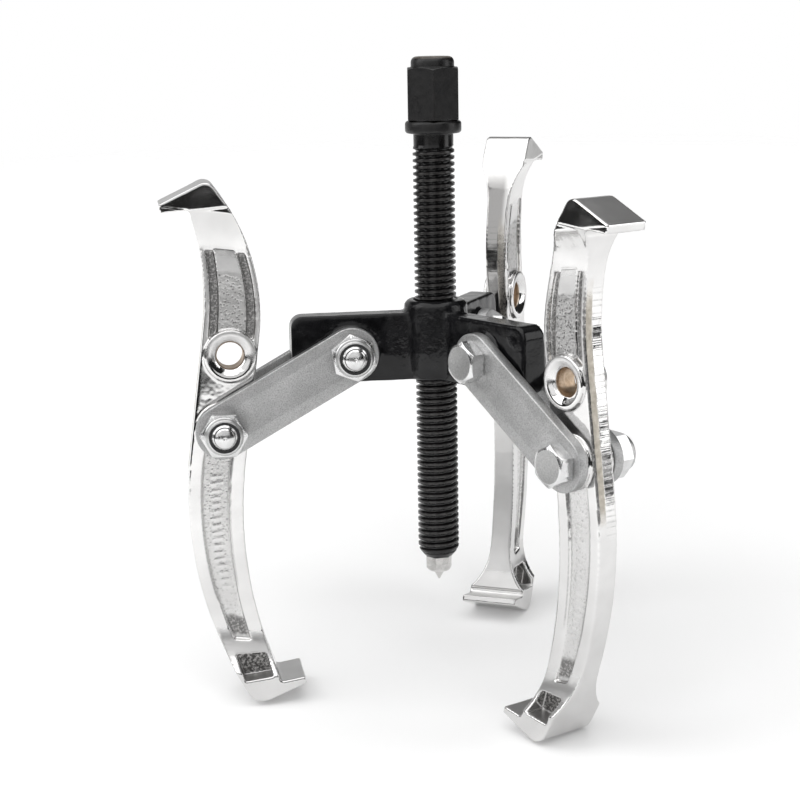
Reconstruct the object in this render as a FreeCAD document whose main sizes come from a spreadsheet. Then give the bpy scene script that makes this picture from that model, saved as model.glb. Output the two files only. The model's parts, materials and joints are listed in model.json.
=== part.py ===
"""Three-jaw gear puller of the 150 mm class, as a parametric FreeCAD document in millimetres.

The origin is the point of the pressure tip and +Z runs up the forcing screw. Arm A of the
crosshead points along -X, and arms B and C follow every 120 degrees, anticlockwise from above.
Heights called "level" are measured from the origin. Each jaw has a frame of its own, with its
origin on its main pivot hole, +X away from the screw and +Z up towards its spare hole.
"""
import FreeCAD, Part
import math
import os
import Sketcher

Vector = FreeCAD.Vector
Rotation = FreeCAD.Rotation
Placement = FreeCAD.Placement

X_AXIS = Vector(1, 0, 0)
Y_AXIS = Vector(0, 1, 0)
Z_AXIS = Vector(0, 0, 1)

FIRST_ARM_AZIMUTH = 180
ARM_COUNT = 3

# How far a cutting outline reaches past the face that it cuts.
CLEAR = 1.0

DRIVING_SIZES = (
    # forcing screw
    ("screw_radius", 8.0),
    ("core_radius", 6.7),
    ("shank_radius", 7.6),
    ("thread_pitch", 2.5),
    ("crest_half_width", 0.45),
    ("root_half_width", 0.9),
    ("screw_end_level", 10.0),
    ("nose_level", 14.5),
    ("nose_rim_radius", 5.4),
    ("nose_bulge_radius", 7.15),
    ("nose_bulge_level", 11.6),
    ("thread_top_level", 171.0),
    ("collar_bottom_level", 175.3),
    ("collar_top_level", 180.0),
    ("collar_radius", 10.7),
    ("collar_edge", 0.9),
    ("drive_top_level", 200.0),
    ("drive_across_flats", 19.0),
    ("crown_radius", 8.2),
    ("crown_top_level", 204.0),
    ("crown_edge", 1.3),
    # pressure tip, with its stem up inside the screw
    ("point_radius", 2.3),
    ("tip_bottom_level", 3.9),
    ("tip_across_flats", 9.0),
    ("tip_top_level", 9.9),
    ("tip_bevel", 1.3),
    ("stem_radius", 2.9),
    ("stem_neck_radius", 2.3),
    ("stem_top_level", 24.0),
    ("socket_radius", 3.1),
    ("socket_top_level", 24.6),
    ("ring_groove_radius", 3.7),
    ("ring_groove_bottom", 19.0),
    ("ring_groove_top", 20.4),
    ("ring_bottom_level", 19.3),
    ("ring_top_level", 20.1),
    ("ring_inner_radius", 2.35),
    ("ring_outer_radius", 3.5),
    # crosshead
    ("pivot_level", 93.0),
    ("pivot_reach", 34.0),
    ("hub_radius", 12.2),
    ("hub_bottom_level", 81.5),
    ("hub_top_level", 112.0),
    ("hub_edge", 1.6),
    ("arm_reach", 56.5),
    ("arm_bottom_level", 81.5),
    ("arm_top_level", 107.5),
    ("arm_corner", 4.5),
    ("arm_thickness", 10.0),
    ("arm_boss_radius", 10.2),
    ("thread_clearance", 0.22),
    ("bore_radius", 6.95),
    ("bore_mouth_radius", 8.4),
    # straps and their fasteners
    ("strap_length", 57.0),
    ("strap_half_width", 10.4),
    ("strap_thickness", 4.2),
    ("strap_gap", 13.2),
    ("bolt_radius", 5.0),
    ("pivot_hole_radius", 5.08),
    ("head_across_flats", 14.0),
    ("head_height", 6.2),
    ("head_face_inset", 0.6),
    ("bolt_end_height", 22.5),
    ("bolt_end_dome", 1.6),
    ("bolt_end_flat", 1.0),
    ("nut_across_flats", 16.0),
    ("nut_hex_height", 7.0),
    ("nut_face_inset", 0.3),
    ("nut_height", 9.8),
    ("nut_collar_radius", 7.0),
    ("nut_thread_radius", 5.02),
    ("nut_lip_radius", 6.3),
    ("insert_height", 1.9),
    ("nut_lip_height", 0.4),
    ("nut_lip_overhang", 0.6),
    ("nut_crimp_height", 1.5),
    # jaw
    ("boss_thickness", 13.0),
    ("boss_radius", 10.0),
    ("hole_spacing", 28.7),
    ("dish_radius", 8.0),
    ("dish_floor_radius", 6.2),
    ("dish_depth", 1.0),
    ("bore_edge_depth", 2.0),
    ("flange_thickness", 9.2),
    ("web_thickness", 6.8),
    ("groove_web_thickness", 5.6),
    ("web_outer_rim", 5.2),
    ("web_inner_rim", 5.6),
    ("web_top", -4.0),
    ("web_bottom", -82.5),
    ("panel_bottom", 34.0),
    ("panel_top", 69.0),
    ("groove_inner_edge", 5.2),
    ("groove_outer_edge", 2.1),
    ("groove_bottom", 30.0),
    ("groove_top", 68.0),
    ("panel_thickness", 8.0),
    ("limb_outer", 11.0),
    ("limb_inner", 10.4),
    ("lower_curve_level", 12.0),
    ("lower_outer_radius", 145.0),
    ("lower_inner_radius", 168.0),
    ("upper_curve_level", 36.5),
    ("upper_outer_radius", 105.0),
    ("upper_inner_radius", 77.5),
    ("foot_width", 24.0),
    ("foot_flare_radius", 21.0),
    ("foot_shoulder", 94.0),
    ("hook_width", 18.6),
    ("hook_flare_radius", 30.0),
    ("hook_shoulder", 82.5),
    # how the three legs are set
    ("strap_drop_a", 29.1),
    ("strap_drop_b", 33.0),
    ("strap_drop_c", 19.9),
    ("jaw_lean_a", -7.8),
    ("jaw_lean_b", -7.1),
    ("jaw_lean_c", -8.0),
)

doc = FreeCAD.newDocument("gear_puller")
sheet = doc.addObject("Spreadsheet::Sheet", "Sizes")


def fill_sheet():
    """Writes the driving dimensions into the sheet, one row each, with their aliases."""
    for row, (alias, value) in enumerate(DRIVING_SIZES, start=1):
        sheet.set(f"A{row}", alias)
        sheet.set(f"B{row}", str(value))
        sheet.setAlias(f"B{row}", alias)
    doc.recompute()


def size(alias):
    """The number in the cell with this alias."""
    return float(sheet.get(alias))


def signed(term):
    """The number that a sketch term stands for: "0", an alias, or an alias with a minus."""
    if term == "0":
        return 0.0
    return -size(term[1:]) if term.startswith("-") else size(term)


def bind(item, property_name, alias_expression):
    """Ties a property of a feature to cells of the sheet."""
    item.setExpression(property_name, alias_expression)


def cell(term):
    """The same term as an expression on the sheet."""
    return "-Sizes." + term[1:] if term.startswith("-") else "Sizes." + term


# ---------------------------------------------------------------- sketches and features


def new_body(label):
    body = doc.addObject("PartDesign::Body", label)
    body.Label = label
    return body


def origin_feature(body, role):
    return next(item for item in body.Origin.OriginFeatures if item.Role == role)


def new_sketch(body, name, role, height="0"):
    """A sketch on one of the body's own planes, lifted along the plane's normal by a cell."""
    sketch = body.newObject("Sketcher::SketchObject", name)
    sketch.AttachmentSupport = [(origin_feature(body, role), "")]
    sketch.MapMode = "FlatFace"
    if height != "0":
        sketch.AttachmentOffset = Placement(Vector(0, 0, signed(height)), Rotation())
        bind(sketch, ".AttachmentOffset.Base.z", cell(height))
    return sketch


def pin_point(sketch, edge, corner):
    """Holds an edge's first point at a corner given as two sheet terms."""
    for kind, axis, term in (("DistanceX", -2, corner[0]), ("DistanceY", -1, corner[1])):
        if term == "0":
            sketch.addConstraint(Sketcher.Constraint("PointOnObject", edge, 1, axis))
        else:
            index = sketch.addConstraint(Sketcher.Constraint(kind, edge, 1, signed(term)))
            sketch.setExpression(f"Constraints[{index}]", cell(term))


def add_polygon(sketch, corners):
    """A closed loop of lines whose corners are pairs of sheet terms."""
    points = [Vector(signed(x), signed(y), 0) for x, y in corners]
    first = sketch.GeometryCount
    for start, end in zip(points, points[1:] + points[:1]):
        sketch.addGeometry(Part.LineSegment(start, end), False)
    for step, corner in enumerate(corners):
        following = first + (step + 1) % len(corners)
        sketch.addConstraint(Sketcher.Constraint("Coincident", first + step, 2, following, 1))
        pin_point(sketch, first + step, corner)


def add_circle(sketch, centre, radius):
    """A circle whose centre and radius are sheet terms."""
    middle = Vector(signed(centre[0]), signed(centre[1]), 0)
    edge = sketch.addGeometry(Part.Circle(middle, Z_AXIS, size(radius)), False)
    index = sketch.addConstraint(Sketcher.Constraint("Radius", edge, size(radius)))
    sketch.setExpression(f"Constraints[{index}]", cell(radius))
    for kind, axis, term in (("DistanceX", -2, centre[0]), ("DistanceY", -1, centre[1])):
        if term == "0":
            sketch.addConstraint(Sketcher.Constraint("PointOnObject", edge, 3, axis))
        else:
            index = sketch.addConstraint(Sketcher.Constraint(kind, edge, 3, signed(term)))
            sketch.setExpression(f"Constraints[{index}]", cell(term))


def end_at(sketch, edge, point):
    """Which end of an edge lies at a point: 1, its start, or 2. A sketch keeps arcs anticlockwise."""
    to_start = sketch.getPoint(edge, 1).distanceToPoint(point)
    to_end = sketch.getPoint(edge, 2).distanceToPoint(point)
    return 1 if to_start < to_end else 2


def add_path(sketch, edges):
    """A closed loop of ready-made edges, joined end to end."""
    first = sketch.GeometryCount
    for edge in edges:
        sketch.addGeometry(edge, False)
    for step, edge in enumerate(edges):
        here = first + step
        following = first + (step + 1) % len(edges)
        joint = edge.EndPoint
        ends = (here, end_at(sketch, here, joint), following, end_at(sketch, following, joint))
        sketch.addConstraint(Sketcher.Constraint("Coincident", *ends))


def add_hexagon(sketch, across_flats, first_angle):
    """A hexagon about the origin, bound to its width across flats by the circle round it."""
    corner_radius = size(across_flats) / math.sqrt(3)
    corners = [
        Vector(corner_radius * math.cos(angle), corner_radius * math.sin(angle), 0)
        for angle in (math.radians(first_angle + 60 * step) for step in range(6))
    ]
    first = sketch.GeometryCount
    for start, end in zip(corners, corners[1:] + corners[:1]):
        sketch.addGeometry(Part.LineSegment(start, end), False)
    circle = sketch.addGeometry(Part.Circle(Vector(), Z_AXIS, corner_radius), True)
    sketch.addConstraint(Sketcher.Constraint("Coincident", circle, 3, -1, 1))
    for step in range(6):
        following = first + (step + 1) % 6
        sketch.addConstraint(Sketcher.Constraint("Coincident", first + step, 2, following, 1))
        sketch.addConstraint(Sketcher.Constraint("PointOnObject", first + step, 1, circle))
        if step:
            sketch.addConstraint(Sketcher.Constraint("Equal", first, first + step))
    index = sketch.addConstraint(Sketcher.Constraint("Radius", circle, corner_radius))
    sketch.setExpression(f"Constraints[{index}]", f"Sizes.{across_flats} / sqrt(3)")


def add_profile(body, kind, name, profile, **settings):
    """A feature of the body made from a sketch, with its plain settings."""
    feature = body.newObject(f"PartDesign::{kind}", name)
    feature.Profile = profile
    for key, value in settings.items():
        setattr(feature, key, value)
    return feature


def pad(body, name, profile, length, both_ways=False):
    """A pad along the sketch's normal, or half each way, with its length on the sheet."""
    feature = add_profile(body, "Pad", name, profile)
    if both_ways:
        feature.SideType = "Symmetric"
    bind(feature, "Length", length)
    return feature


def turn(body, kind, name, profile):
    """A full turn of the sketch about its own vertical axis: a Revolution or a Groove."""
    return add_profile(body, kind, name, profile, ReferenceAxis=(profile, ["V_Axis"]), Angle=360)


def cut_through(body, name, profile, both_ways=False, away=False):
    """A cut through everything behind the sketch, on both sides of it, or in front of it."""
    feature = add_profile(body, "Pocket", name, profile, Type="ThroughAll")
    if both_ways:
        feature.SideType = "Symmetric"
    feature.Reversed = away
    return feature


def mirror_across(body, name, originals, role):
    feature = body.newObject("PartDesign::Mirrored", name)
    feature.Originals = originals
    feature.MirrorPlane = (origin_feature(body, role), [""])
    body.Tip = feature
    return feature


def arc_between(centre, radius, start_angle, end_angle):
    """The arc from one angle to another, in degrees, on a circle of the sketch."""
    def on_circle(angle):
        turned = math.radians(angle)
        return centre + Vector(radius * math.cos(turned), radius * math.sin(turned), 0)

    middle = (start_angle + end_angle) / 2
    return Part.Arc(on_circle(start_angle), on_circle(middle), on_circle(end_angle))


def line_to(edge, point):
    return Part.LineSegment(edge.EndPoint, point)


def closed_lines(pairs):
    corners = [Vector(x, y, 0) for x, y in pairs]
    return [Part.LineSegment(a, b) for a, b in zip(corners, corners[1:] + corners[:1])]


def corner_triangle(across_flats, inset, level, into):
    """What is turned off a hexagon's corners at an end, at 30 degrees, from inset inside its
    flats. The hexagon lies above the end's level if into is 1, and below it if into is -1."""
    beyond = size(across_flats) / math.sqrt(3) + CLEAR
    start = size(across_flats) / 2 - inset
    depth = (beyond - start) * math.tan(math.radians(30))
    return closed_lines(((start, level), (beyond, level), (beyond, level + into * depth)))


# ---------------------------------------------------------------- places of the moving parts


def arm_azimuth(index):
    return FIRST_ARM_AZIMUTH + 360 / ARM_COUNT * index


def leg_placement(index, reach, level, tilt):
    """A frame on arm number index, turned down about the tangent by tilt degrees."""
    outward = Rotation(Z_AXIS, arm_azimuth(index))
    place = outward.multVec(Vector(reach, 0, 0)) + Vector(0, 0, level)
    return Placement(place, outward * Rotation(Y_AXIS, tilt))


def strap_placement(index):
    """The straps' frame: origin on the arm's pivot and +X along the straps."""
    drop = size(f"strap_drop_{'abc'[index]}")
    return leg_placement(index, size("pivot_reach"), size("pivot_level"), drop)


def jaw_placement(index):
    letter = "abc"[index]
    drop = math.radians(size(f"strap_drop_{letter}"))
    reach = size("pivot_reach") + size("strap_length") * math.cos(drop)
    level = size("pivot_level") - size("strap_length") * math.sin(drop)
    return leg_placement(index, reach, level, size(f"jaw_lean_{letter}"))


def across(distance, along=0.0):
    """From the straps' frame to a fastener's: its +Z points across the leg, to the nut side."""
    return Placement(Vector(along, distance, 0), Rotation(X_AXIS, -90))


# ---------------------------------------------------------------- forcing screw and its tip


def build_forcing_screw():
    """The screw: drive hexagon, collar, shank, threaded length and a bored, rounded nose."""
    body = new_body("forcing_screw")
    outline = new_sketch(body, "turned_outline", "XZ_Plane")
    collar_side = size("collar_radius") - size("collar_edge")
    crown_side = size("crown_radius") - size("crown_edge")
    levels = (
        (size("socket_radius"), size("screw_end_level")),
        (size("core_radius"), size("screw_end_level")),
        (size("core_radius"), size("thread_top_level")),
        (size("shank_radius"), size("thread_top_level")),
        (size("shank_radius"), size("collar_bottom_level")),
        (collar_side, size("collar_bottom_level")),
        (size("collar_radius"), size("collar_bottom_level") + size("collar_edge")),
        (size("collar_radius"), size("collar_top_level") - size("collar_edge")),
        (collar_side, size("collar_top_level")),
        (size("crown_radius"), size("collar_top_level")),
        (size("crown_radius"), size("crown_top_level") - size("crown_edge")),
        (crown_side, size("crown_top_level")),
        (0.0, size("crown_top_level")),
        (0.0, size("socket_top_level")),
        (size("socket_radius"), size("socket_top_level")),
        (size("socket_radius"), size("ring_groove_top")),
        (size("ring_groove_radius"), size("ring_groove_top")),
        (size("ring_groove_radius"), size("ring_groove_bottom")),
        (size("socket_radius"), size("ring_groove_bottom")),
    )
    corners = [Vector(radius, level, 0) for radius, level in levels]
    pairs = zip(corners, corners[1:] + corners[:1])
    add_path(outline, [Part.LineSegment(start, end) for start, end in pairs])
    turn(body, "Revolution", "turned_blank", outline)

    hexagon = new_sketch(body, "drive_outline", "XY_Plane", "collar_top_level")
    add_hexagon(hexagon, "drive_across_flats", 22)
    pad(body, "drive_hexagon", hexagon, "Sizes.drive_top_level - Sizes.collar_top_level")
    chamfer = new_sketch(body, "drive_chamfer_outline", "XZ_Plane")
    add_path(chamfer, corner_triangle("drive_across_flats", 0, size("drive_top_level"), -1))
    turn(body, "Groove", "drive_chamfer", chamfer)

    ridge = new_sketch(body, "thread_ridge", "XZ_Plane")
    ridge_foot = size("core_radius") - 0.2
    add_path(ridge, thread_section(thread_start(), 0.0, ridge_foot, size("screw_radius")))
    thread = add_profile(body, "AdditiveHelix", "thread", ridge, Mode=0)
    thread.ReferenceAxis = (ridge, ["V_Axis"])
    bind(thread, "Pitch", "Sizes.thread_pitch")
    thread.Height = size("thread_top_level") - thread_start()

    nose = new_sketch(body, "nose_outline", "XZ_Plane")
    add_path(nose, nose_edges())
    turn(body, "Groove", "rounded_nose", nose)
    return body


def thread_start():
    """The level of the first ridge's middle, in the nose's rounding."""
    return size("screw_end_level") + size("thread_pitch") / 2


def thread_section(level, clearance, inner_radius, outer_radius):
    """The trapezium of one thread: wide at the core, narrow at the crest, grown by clearance."""
    flank = (size("root_half_width") - size("crest_half_width")) / (
        size("screw_radius") - size("core_radius")
    )

    def half_width(radius):
        return size("crest_half_width") + flank * (size("screw_radius") - radius) + clearance

    corners = [
        Vector(inner_radius, level - half_width(inner_radius), 0),
        Vector(outer_radius, level - half_width(outer_radius), 0),
        Vector(outer_radius, level + half_width(outer_radius), 0),
        Vector(inner_radius, level + half_width(inner_radius), 0),
    ]
    return [Part.LineSegment(a, b) for a, b in zip(corners, corners[1:] + corners[:1])]


def nose_edges():
    """What is turned away outside the nose's rounding, up to just outside the crests."""
    clear_radius = size("screw_radius") + CLEAR
    clear_level = size("screw_end_level") - CLEAR
    rim = Vector(size("nose_rim_radius"), size("screw_end_level"), 0)
    shoulder = Vector(size("screw_radius") + 0.01, size("nose_level"), 0)
    bulge = Vector(size("nose_bulge_radius"), size("nose_bulge_level"), 0)
    far_corner = Vector(clear_radius, clear_level, 0)
    return [
        Part.Arc(rim, bulge, shoulder),
        Part.LineSegment(shoulder, Vector(clear_radius, size("nose_level"), 0)),
        Part.LineSegment(Vector(clear_radius, size("nose_level"), 0), far_corner),
        Part.LineSegment(far_corner, Vector(rim.x, clear_level, 0)),
        Part.LineSegment(Vector(rim.x, clear_level, 0), rim),
    ]


def build_pressure_tip():
    """The hardened tip: a hexagonal block with a point, and a grooved stem up in the screw."""
    body = new_body("pressure_tip")
    outline = new_sketch(body, "stem_outline", "XZ_Plane")
    add_polygon(outline, (
        ("0", "0"),
        ("point_radius", "tip_bottom_level"),
        ("point_radius", "tip_top_level"),
        ("stem_radius", "tip_top_level"),
        ("stem_radius", "ring_bottom_level"),
        ("stem_neck_radius", "ring_bottom_level"),
        ("stem_neck_radius", "ring_top_level"),
        ("stem_radius", "ring_top_level"),
        ("stem_radius", "stem_top_level"),
        ("0", "stem_top_level"),
    ))
    turn(body, "Revolution", "stem_and_point", outline)
    hexagon = new_sketch(body, "block_outline", "XY_Plane", "tip_bottom_level")
    add_hexagon(hexagon, "tip_across_flats", 8)
    pad(body, "block", hexagon, "Sizes.tip_top_level - Sizes.tip_bottom_level")
    corner = size("tip_across_flats") / math.sqrt(3)
    bottom = size("tip_bottom_level")
    depth = size("tip_bevel") + CLEAR
    bevel = new_sketch(body, "bevel_outline", "XZ_Plane")
    add_path(bevel, closed_lines((
        (corner - size("tip_bevel"), bottom),
        (corner + CLEAR, bottom),
        (corner + CLEAR, bottom + depth),
    )))
    turn(body, "Groove", "block_bevel", bevel)
    return body


def build_ring(label, inner, outer, bottom, top):
    """A plain ring about the body's axis, between two levels of the sheet."""
    body = new_body(label)
    section = new_sketch(body, "section", "XZ_Plane")
    add_polygon(section, ((inner, bottom), (outer, bottom), (outer, top), (inner, top)))
    turn(body, "Revolution", "ring", section)
    return body


# ---------------------------------------------------------------- crosshead


def build_crosshead():
    """The forged crosshead: a tapped hub with three arms, each bored across for its bolt."""
    body = new_body("crosshead")
    arm_outline = new_sketch(body, "arm_outline", "XZ_Plane")
    add_path(arm_outline, arm_edges())
    arm = pad(body, "arm", arm_outline, "Sizes.arm_thickness", both_ways=True)
    boss_outline = new_sketch(body, "boss_outline", "XZ_Plane")
    add_circle(boss_outline, ("-pivot_reach", "pivot_level"), "arm_boss_radius")
    boss = pad(body, "boss", boss_outline, "Sizes.boss_thickness", both_ways=True)
    hole_outline = new_sketch(body, "pivot_outline", "XZ_Plane")
    add_circle(hole_outline, ("-pivot_reach", "pivot_level"), "pivot_hole_radius")
    hole = cut_through(body, "pivot_hole", hole_outline, both_ways=True)
    doc.recompute()
    arms = body.newObject("PartDesign::PolarPattern", "arms")
    arms.Originals = [arm, boss, hole]
    arms.Axis = (origin_feature(body, "Z_Axis"), [""])
    arms.Angle = 360
    arms.Occurrences = ARM_COUNT
    body.Tip = arms

    hub_outline = new_sketch(body, "hub_outline", "XZ_Plane")
    rim = size("hub_radius") - size("hub_edge")
    add_path(hub_outline, closed_lines((
        (0, size("hub_bottom_level")),
        (rim, size("hub_bottom_level")),
        (size("hub_radius"), size("hub_bottom_level") + size("hub_edge")),
        (size("hub_radius"), size("hub_top_level") - size("hub_edge")),
        (rim, size("hub_top_level")),
        (0, size("hub_top_level")),
    )))
    turn(body, "Revolution", "hub", hub_outline)

    bore_outline = new_sketch(body, "bore_outline", "XZ_Plane")
    mouth = size("bore_mouth_radius") - size("bore_radius")
    add_path(bore_outline, closed_lines((
        (0, size("hub_bottom_level") - CLEAR),
        (size("bore_mouth_radius"), size("hub_bottom_level") - CLEAR),
        (size("bore_mouth_radius"), size("hub_bottom_level")),
        (size("bore_radius"), size("hub_bottom_level") + mouth),
        (size("bore_radius"), size("hub_top_level") - mouth),
        (size("bore_mouth_radius"), size("hub_top_level")),
        (size("bore_mouth_radius"), size("hub_top_level") + CLEAR),
        (0, size("hub_top_level") + CLEAR),
    )))
    turn(body, "Groove", "bore", bore_outline)

    pitch = size("thread_pitch")
    turns_below = math.floor((size("hub_bottom_level") - thread_start()) / pitch) - 1
    start = thread_start() + turns_below * pitch
    groove_outline = new_sketch(body, "thread_groove", "XZ_Plane")
    add_path(groove_outline, thread_section(start, size("thread_clearance"),
                                            size("core_radius") + 0.06,
                                            size("screw_radius") + size("thread_clearance")))
    groove = add_profile(body, "SubtractiveHelix", "thread", groove_outline, Mode=0)
    groove.ReferenceAxis = (groove_outline, ["V_Axis"])
    bind(groove, "Pitch", "Sizes.thread_pitch")
    groove.Height = size("hub_top_level") - start + pitch
    return body


def arm_edges():
    """One arm seen from the side, reaching along -X, with its two outer corners rounded."""
    left = -size("arm_reach")
    bottom = size("arm_bottom_level")
    top = size("arm_top_level")
    corner = size("arm_corner")
    upper_round = arc_between(Vector(left + corner, top - corner, 0), corner, 90, 180)
    lower_round = arc_between(Vector(left + corner, bottom + corner, 0), corner, 180, 270)
    return [
        Part.LineSegment(Vector(0, top, 0), upper_round.StartPoint),
        upper_round,
        line_to(upper_round, lower_round.StartPoint),
        lower_round,
        line_to(lower_round, Vector(0, bottom, 0)),
        Part.LineSegment(Vector(0, bottom, 0), Vector(0, top, 0)),
    ]


# ---------------------------------------------------------------- straps, bolts and nuts


def build_strap(label):
    """A flat strap with round ends and two pivot holes, lying on the XY plane along +X."""
    body = new_body(label)
    outline = new_sketch(body, "outline", "XY_Plane")
    half = size("strap_half_width")
    far = Vector(size("strap_length"), 0, 0)
    near_end = arc_between(Vector(), half, 90, 270)
    far_end = arc_between(far, half, -90, 90)
    add_path(outline, [near_end, line_to(near_end, far_end.StartPoint), far_end,
                       line_to(far_end, near_end.StartPoint)])
    add_circle(outline, ("0", "0"), "pivot_hole_radius")
    add_circle(outline, ("strap_length", "0"), "pivot_hole_radius")
    pad(body, "plate", outline, "Sizes.strap_thickness")
    return body


def build_bolt(label):
    """A hexagon bolt along +Z whose Z = 0 is the middle of the leg that it crosses."""
    body = new_body(label)
    seat = -size("strap_gap") / 2 - size("strap_thickness")
    radius = size("bolt_radius")
    end = size("bolt_end_height")
    shoulder = end - size("bolt_end_dome")
    outline = new_sketch(body, "shank_outline", "XZ_Plane")
    dome = dome_arc(radius, shoulder, size("bolt_end_flat"), end)
    axis_foot = Vector(0, seat, 0)
    axis_end = Vector(0, end, 0)
    side_foot = Vector(radius, seat, 0)
    add_path(outline, [
        Part.LineSegment(axis_foot, side_foot),
        Part.LineSegment(side_foot, dome.StartPoint),
        dome,
        line_to(dome, axis_end),
        Part.LineSegment(axis_end, axis_foot),
    ])
    turn(body, "Revolution", "shank", outline)
    hexagon = new_sketch(body, "head_outline", "XY_Plane")
    hexagon.AttachmentOffset = Placement(Vector(0, 0, seat), Rotation())
    bind(hexagon, ".AttachmentOffset.Base.z", "-Sizes.strap_gap / 2 - Sizes.strap_thickness")
    add_hexagon(hexagon, "head_across_flats", 0)
    head = pad(body, "head", hexagon, "Sizes.head_height")
    head.Reversed = True
    chamfer = new_sketch(body, "head_chamfer", "XZ_Plane")
    add_path(chamfer, corner_triangle("head_across_flats", size("head_face_inset"),
                                      seat - size("head_height"), 1))
    turn(body, "Groove", "chamfer", chamfer)
    return body


def dome_arc(radius, shoulder, flat_radius, end):
    """The arc of a shank's domed end, from its side up to a small flat, centred on the axis."""
    across = (radius ** 2 - flat_radius ** 2) / 2
    centre = (shoulder + end) / 2 - across / (end - shoulder)
    sphere = math.hypot(radius, shoulder - centre)
    middle = (radius + flat_radius) / 2
    bulge = Vector(middle, centre + math.sqrt(sphere ** 2 - middle ** 2), 0)
    return Part.Arc(Vector(radius, shoulder, 0), bulge, Vector(flat_radius, end, 0))


def build_nut(label):
    """A lock nut along +Z from its seat, with a collar crimped over a nylon insert."""
    body = new_body(label)
    hexagon = new_sketch(body, "hexagon", "XY_Plane")
    add_hexagon(hexagon, "nut_across_flats", 30)
    pad(body, "block", hexagon, "Sizes.nut_hex_height")
    top = size("nut_hex_height")
    chamfers = new_sketch(body, "corner_chamfers", "XZ_Plane")
    add_path(chamfers, corner_triangle("nut_across_flats", size("nut_face_inset"), 0, 1))
    add_path(chamfers, corner_triangle("nut_across_flats", size("nut_face_inset"), top, -1))
    turn(body, "Groove", "chamfers", chamfers)
    collar = new_sketch(body, "collar_outline", "XZ_Plane")
    height = size("nut_height")
    side = size("nut_collar_radius")
    crimp = size("nut_crimp_height")
    crimped_edge = arc_between(Vector(side - crimp, height - crimp, 0), crimp, 0, 90)
    add_path(collar, [
        Part.LineSegment(Vector(0, top, 0), Vector(side, top, 0)),
        Part.LineSegment(Vector(side, top, 0), crimped_edge.StartPoint),
        crimped_edge,
        line_to(crimped_edge, Vector(0, height, 0)),
        Part.LineSegment(Vector(0, height, 0), Vector(0, top, 0)),
    ])
    turn(body, "Revolution", "collar", collar)
    bore = new_sketch(body, "bore_outline", "XZ_Plane")
    insert_top = height - size("nut_lip_height")
    insert_seat = insert_top - size("insert_height")
    mouth = size("nut_lip_radius") - size("nut_lip_overhang")
    add_path(bore, closed_lines((
        (0, -CLEAR),
        (size("nut_thread_radius"), -CLEAR),
        (size("nut_thread_radius"), insert_seat),
        (size("nut_lip_radius"), insert_seat),
        (size("nut_lip_radius"), insert_top),
        (mouth, height),
        (mouth, height + CLEAR),
        (0, height + CLEAR),
    )))
    turn(body, "Groove", "bore", bore)
    return body


def build_insert(label):
    """The nylon ring in a lock nut, along +Z from the nut's seat."""
    body = new_body(label)
    top = size("nut_height") - size("nut_lip_height")
    bottom = top - size("insert_height")
    inner = size("nut_thread_radius")
    outer = size("nut_lip_radius") - 0.01
    edge = 0.3
    section = new_sketch(body, "section", "XZ_Plane")
    add_path(section, closed_lines((
        (inner, bottom),
        (outer, bottom),
        (outer, top - edge),
        (outer - edge, top),
        (inner, top),
    )))
    turn(body, "Revolution", "ring", section)
    return body


# ---------------------------------------------------------------- jaws


class LimbEdge:
    """One curved edge of a jaw's limb: an arc that starts parallel to the jaw's axis."""

    def __init__(self, start_x, start_z, radius, bends_outward):
        side = 1 if bends_outward else -1
        self.side = side
        self.radius = radius
        self.centre = Vector(start_x + side * radius, start_z, 0)

    def point(self, z, inset=0.0):
        """The point of the edge at height z, or of a parallel arc moved along +X by inset."""
        radius = self.radius - self.side * inset
        reach = math.sqrt(radius ** 2 - (z - self.centre.y) ** 2)
        return Vector(self.centre.x - self.side * reach, z, 0)

    def arc(self, start_z, end_z, inset=0.0):
        middle = (start_z + end_z) / 2
        return Part.Arc(self.point(start_z, inset), self.point(middle, inset),
                        self.point(end_z, inset))


def jaw_edges():
    """The four curved edges of the limbs: lower outer, lower inner, upper outer, upper inner."""
    outer = size("limb_outer")
    inner = -size("limb_inner")
    low = -size("lower_curve_level")
    high = size("upper_curve_level")
    return (
        LimbEdge(outer, low, size("lower_outer_radius"), False),
        LimbEdge(inner, low, size("lower_inner_radius"), False),
        LimbEdge(outer, high, size("upper_outer_radius"), True),
        LimbEdge(inner, high, size("upper_inner_radius"), True),
    )


# Corners of the two hooks in the jaw's frame.
FOOT_ROOT = Vector(-33.4, -96.0, 0)
FOOT_ROOT_ROUND = Vector(-32.1, -95.5, 0)
FOOT_INNER_END = -93.6
FOOT_TIP_TOP = Vector(-41.6, -93.5, 0)
FOOT_TIP_BOTTOM = Vector(-42.6, -96.0, 0)
HEEL_END = Vector(-29.2, -103.8, 0)
HEEL_MIDDLE = Vector(-24.6, -104.6, 0)
HEEL_START = -101.6
HOOK_ROOT = Vector(22.2, 82.0, 0)
HOOK_ROOT_ROUND = Vector(20.8, 81.2, 0)
HOOK_OUTER_END = 79.6
HOOK_TIP_BOTTOM = Vector(31.6, 79.9, 0)
HOOK_TIP_TOP = Vector(32.6, 83.1, 0)
HOOK_CROWN_END = Vector(18.2, 92.5, 0)
HOOK_CROWN_MIDDLE = Vector(15.8, 93.2, 0)
HOOK_CROWN_START = 91.5

# Corners of the deep pocket between the limb's web and the foot, in the jaw's frame.
FOOT_POCKET = ((-14.4, -88.2), (-25.8, -86.6), (-29.4, -94.4), (-18.6, -97.2))


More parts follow.
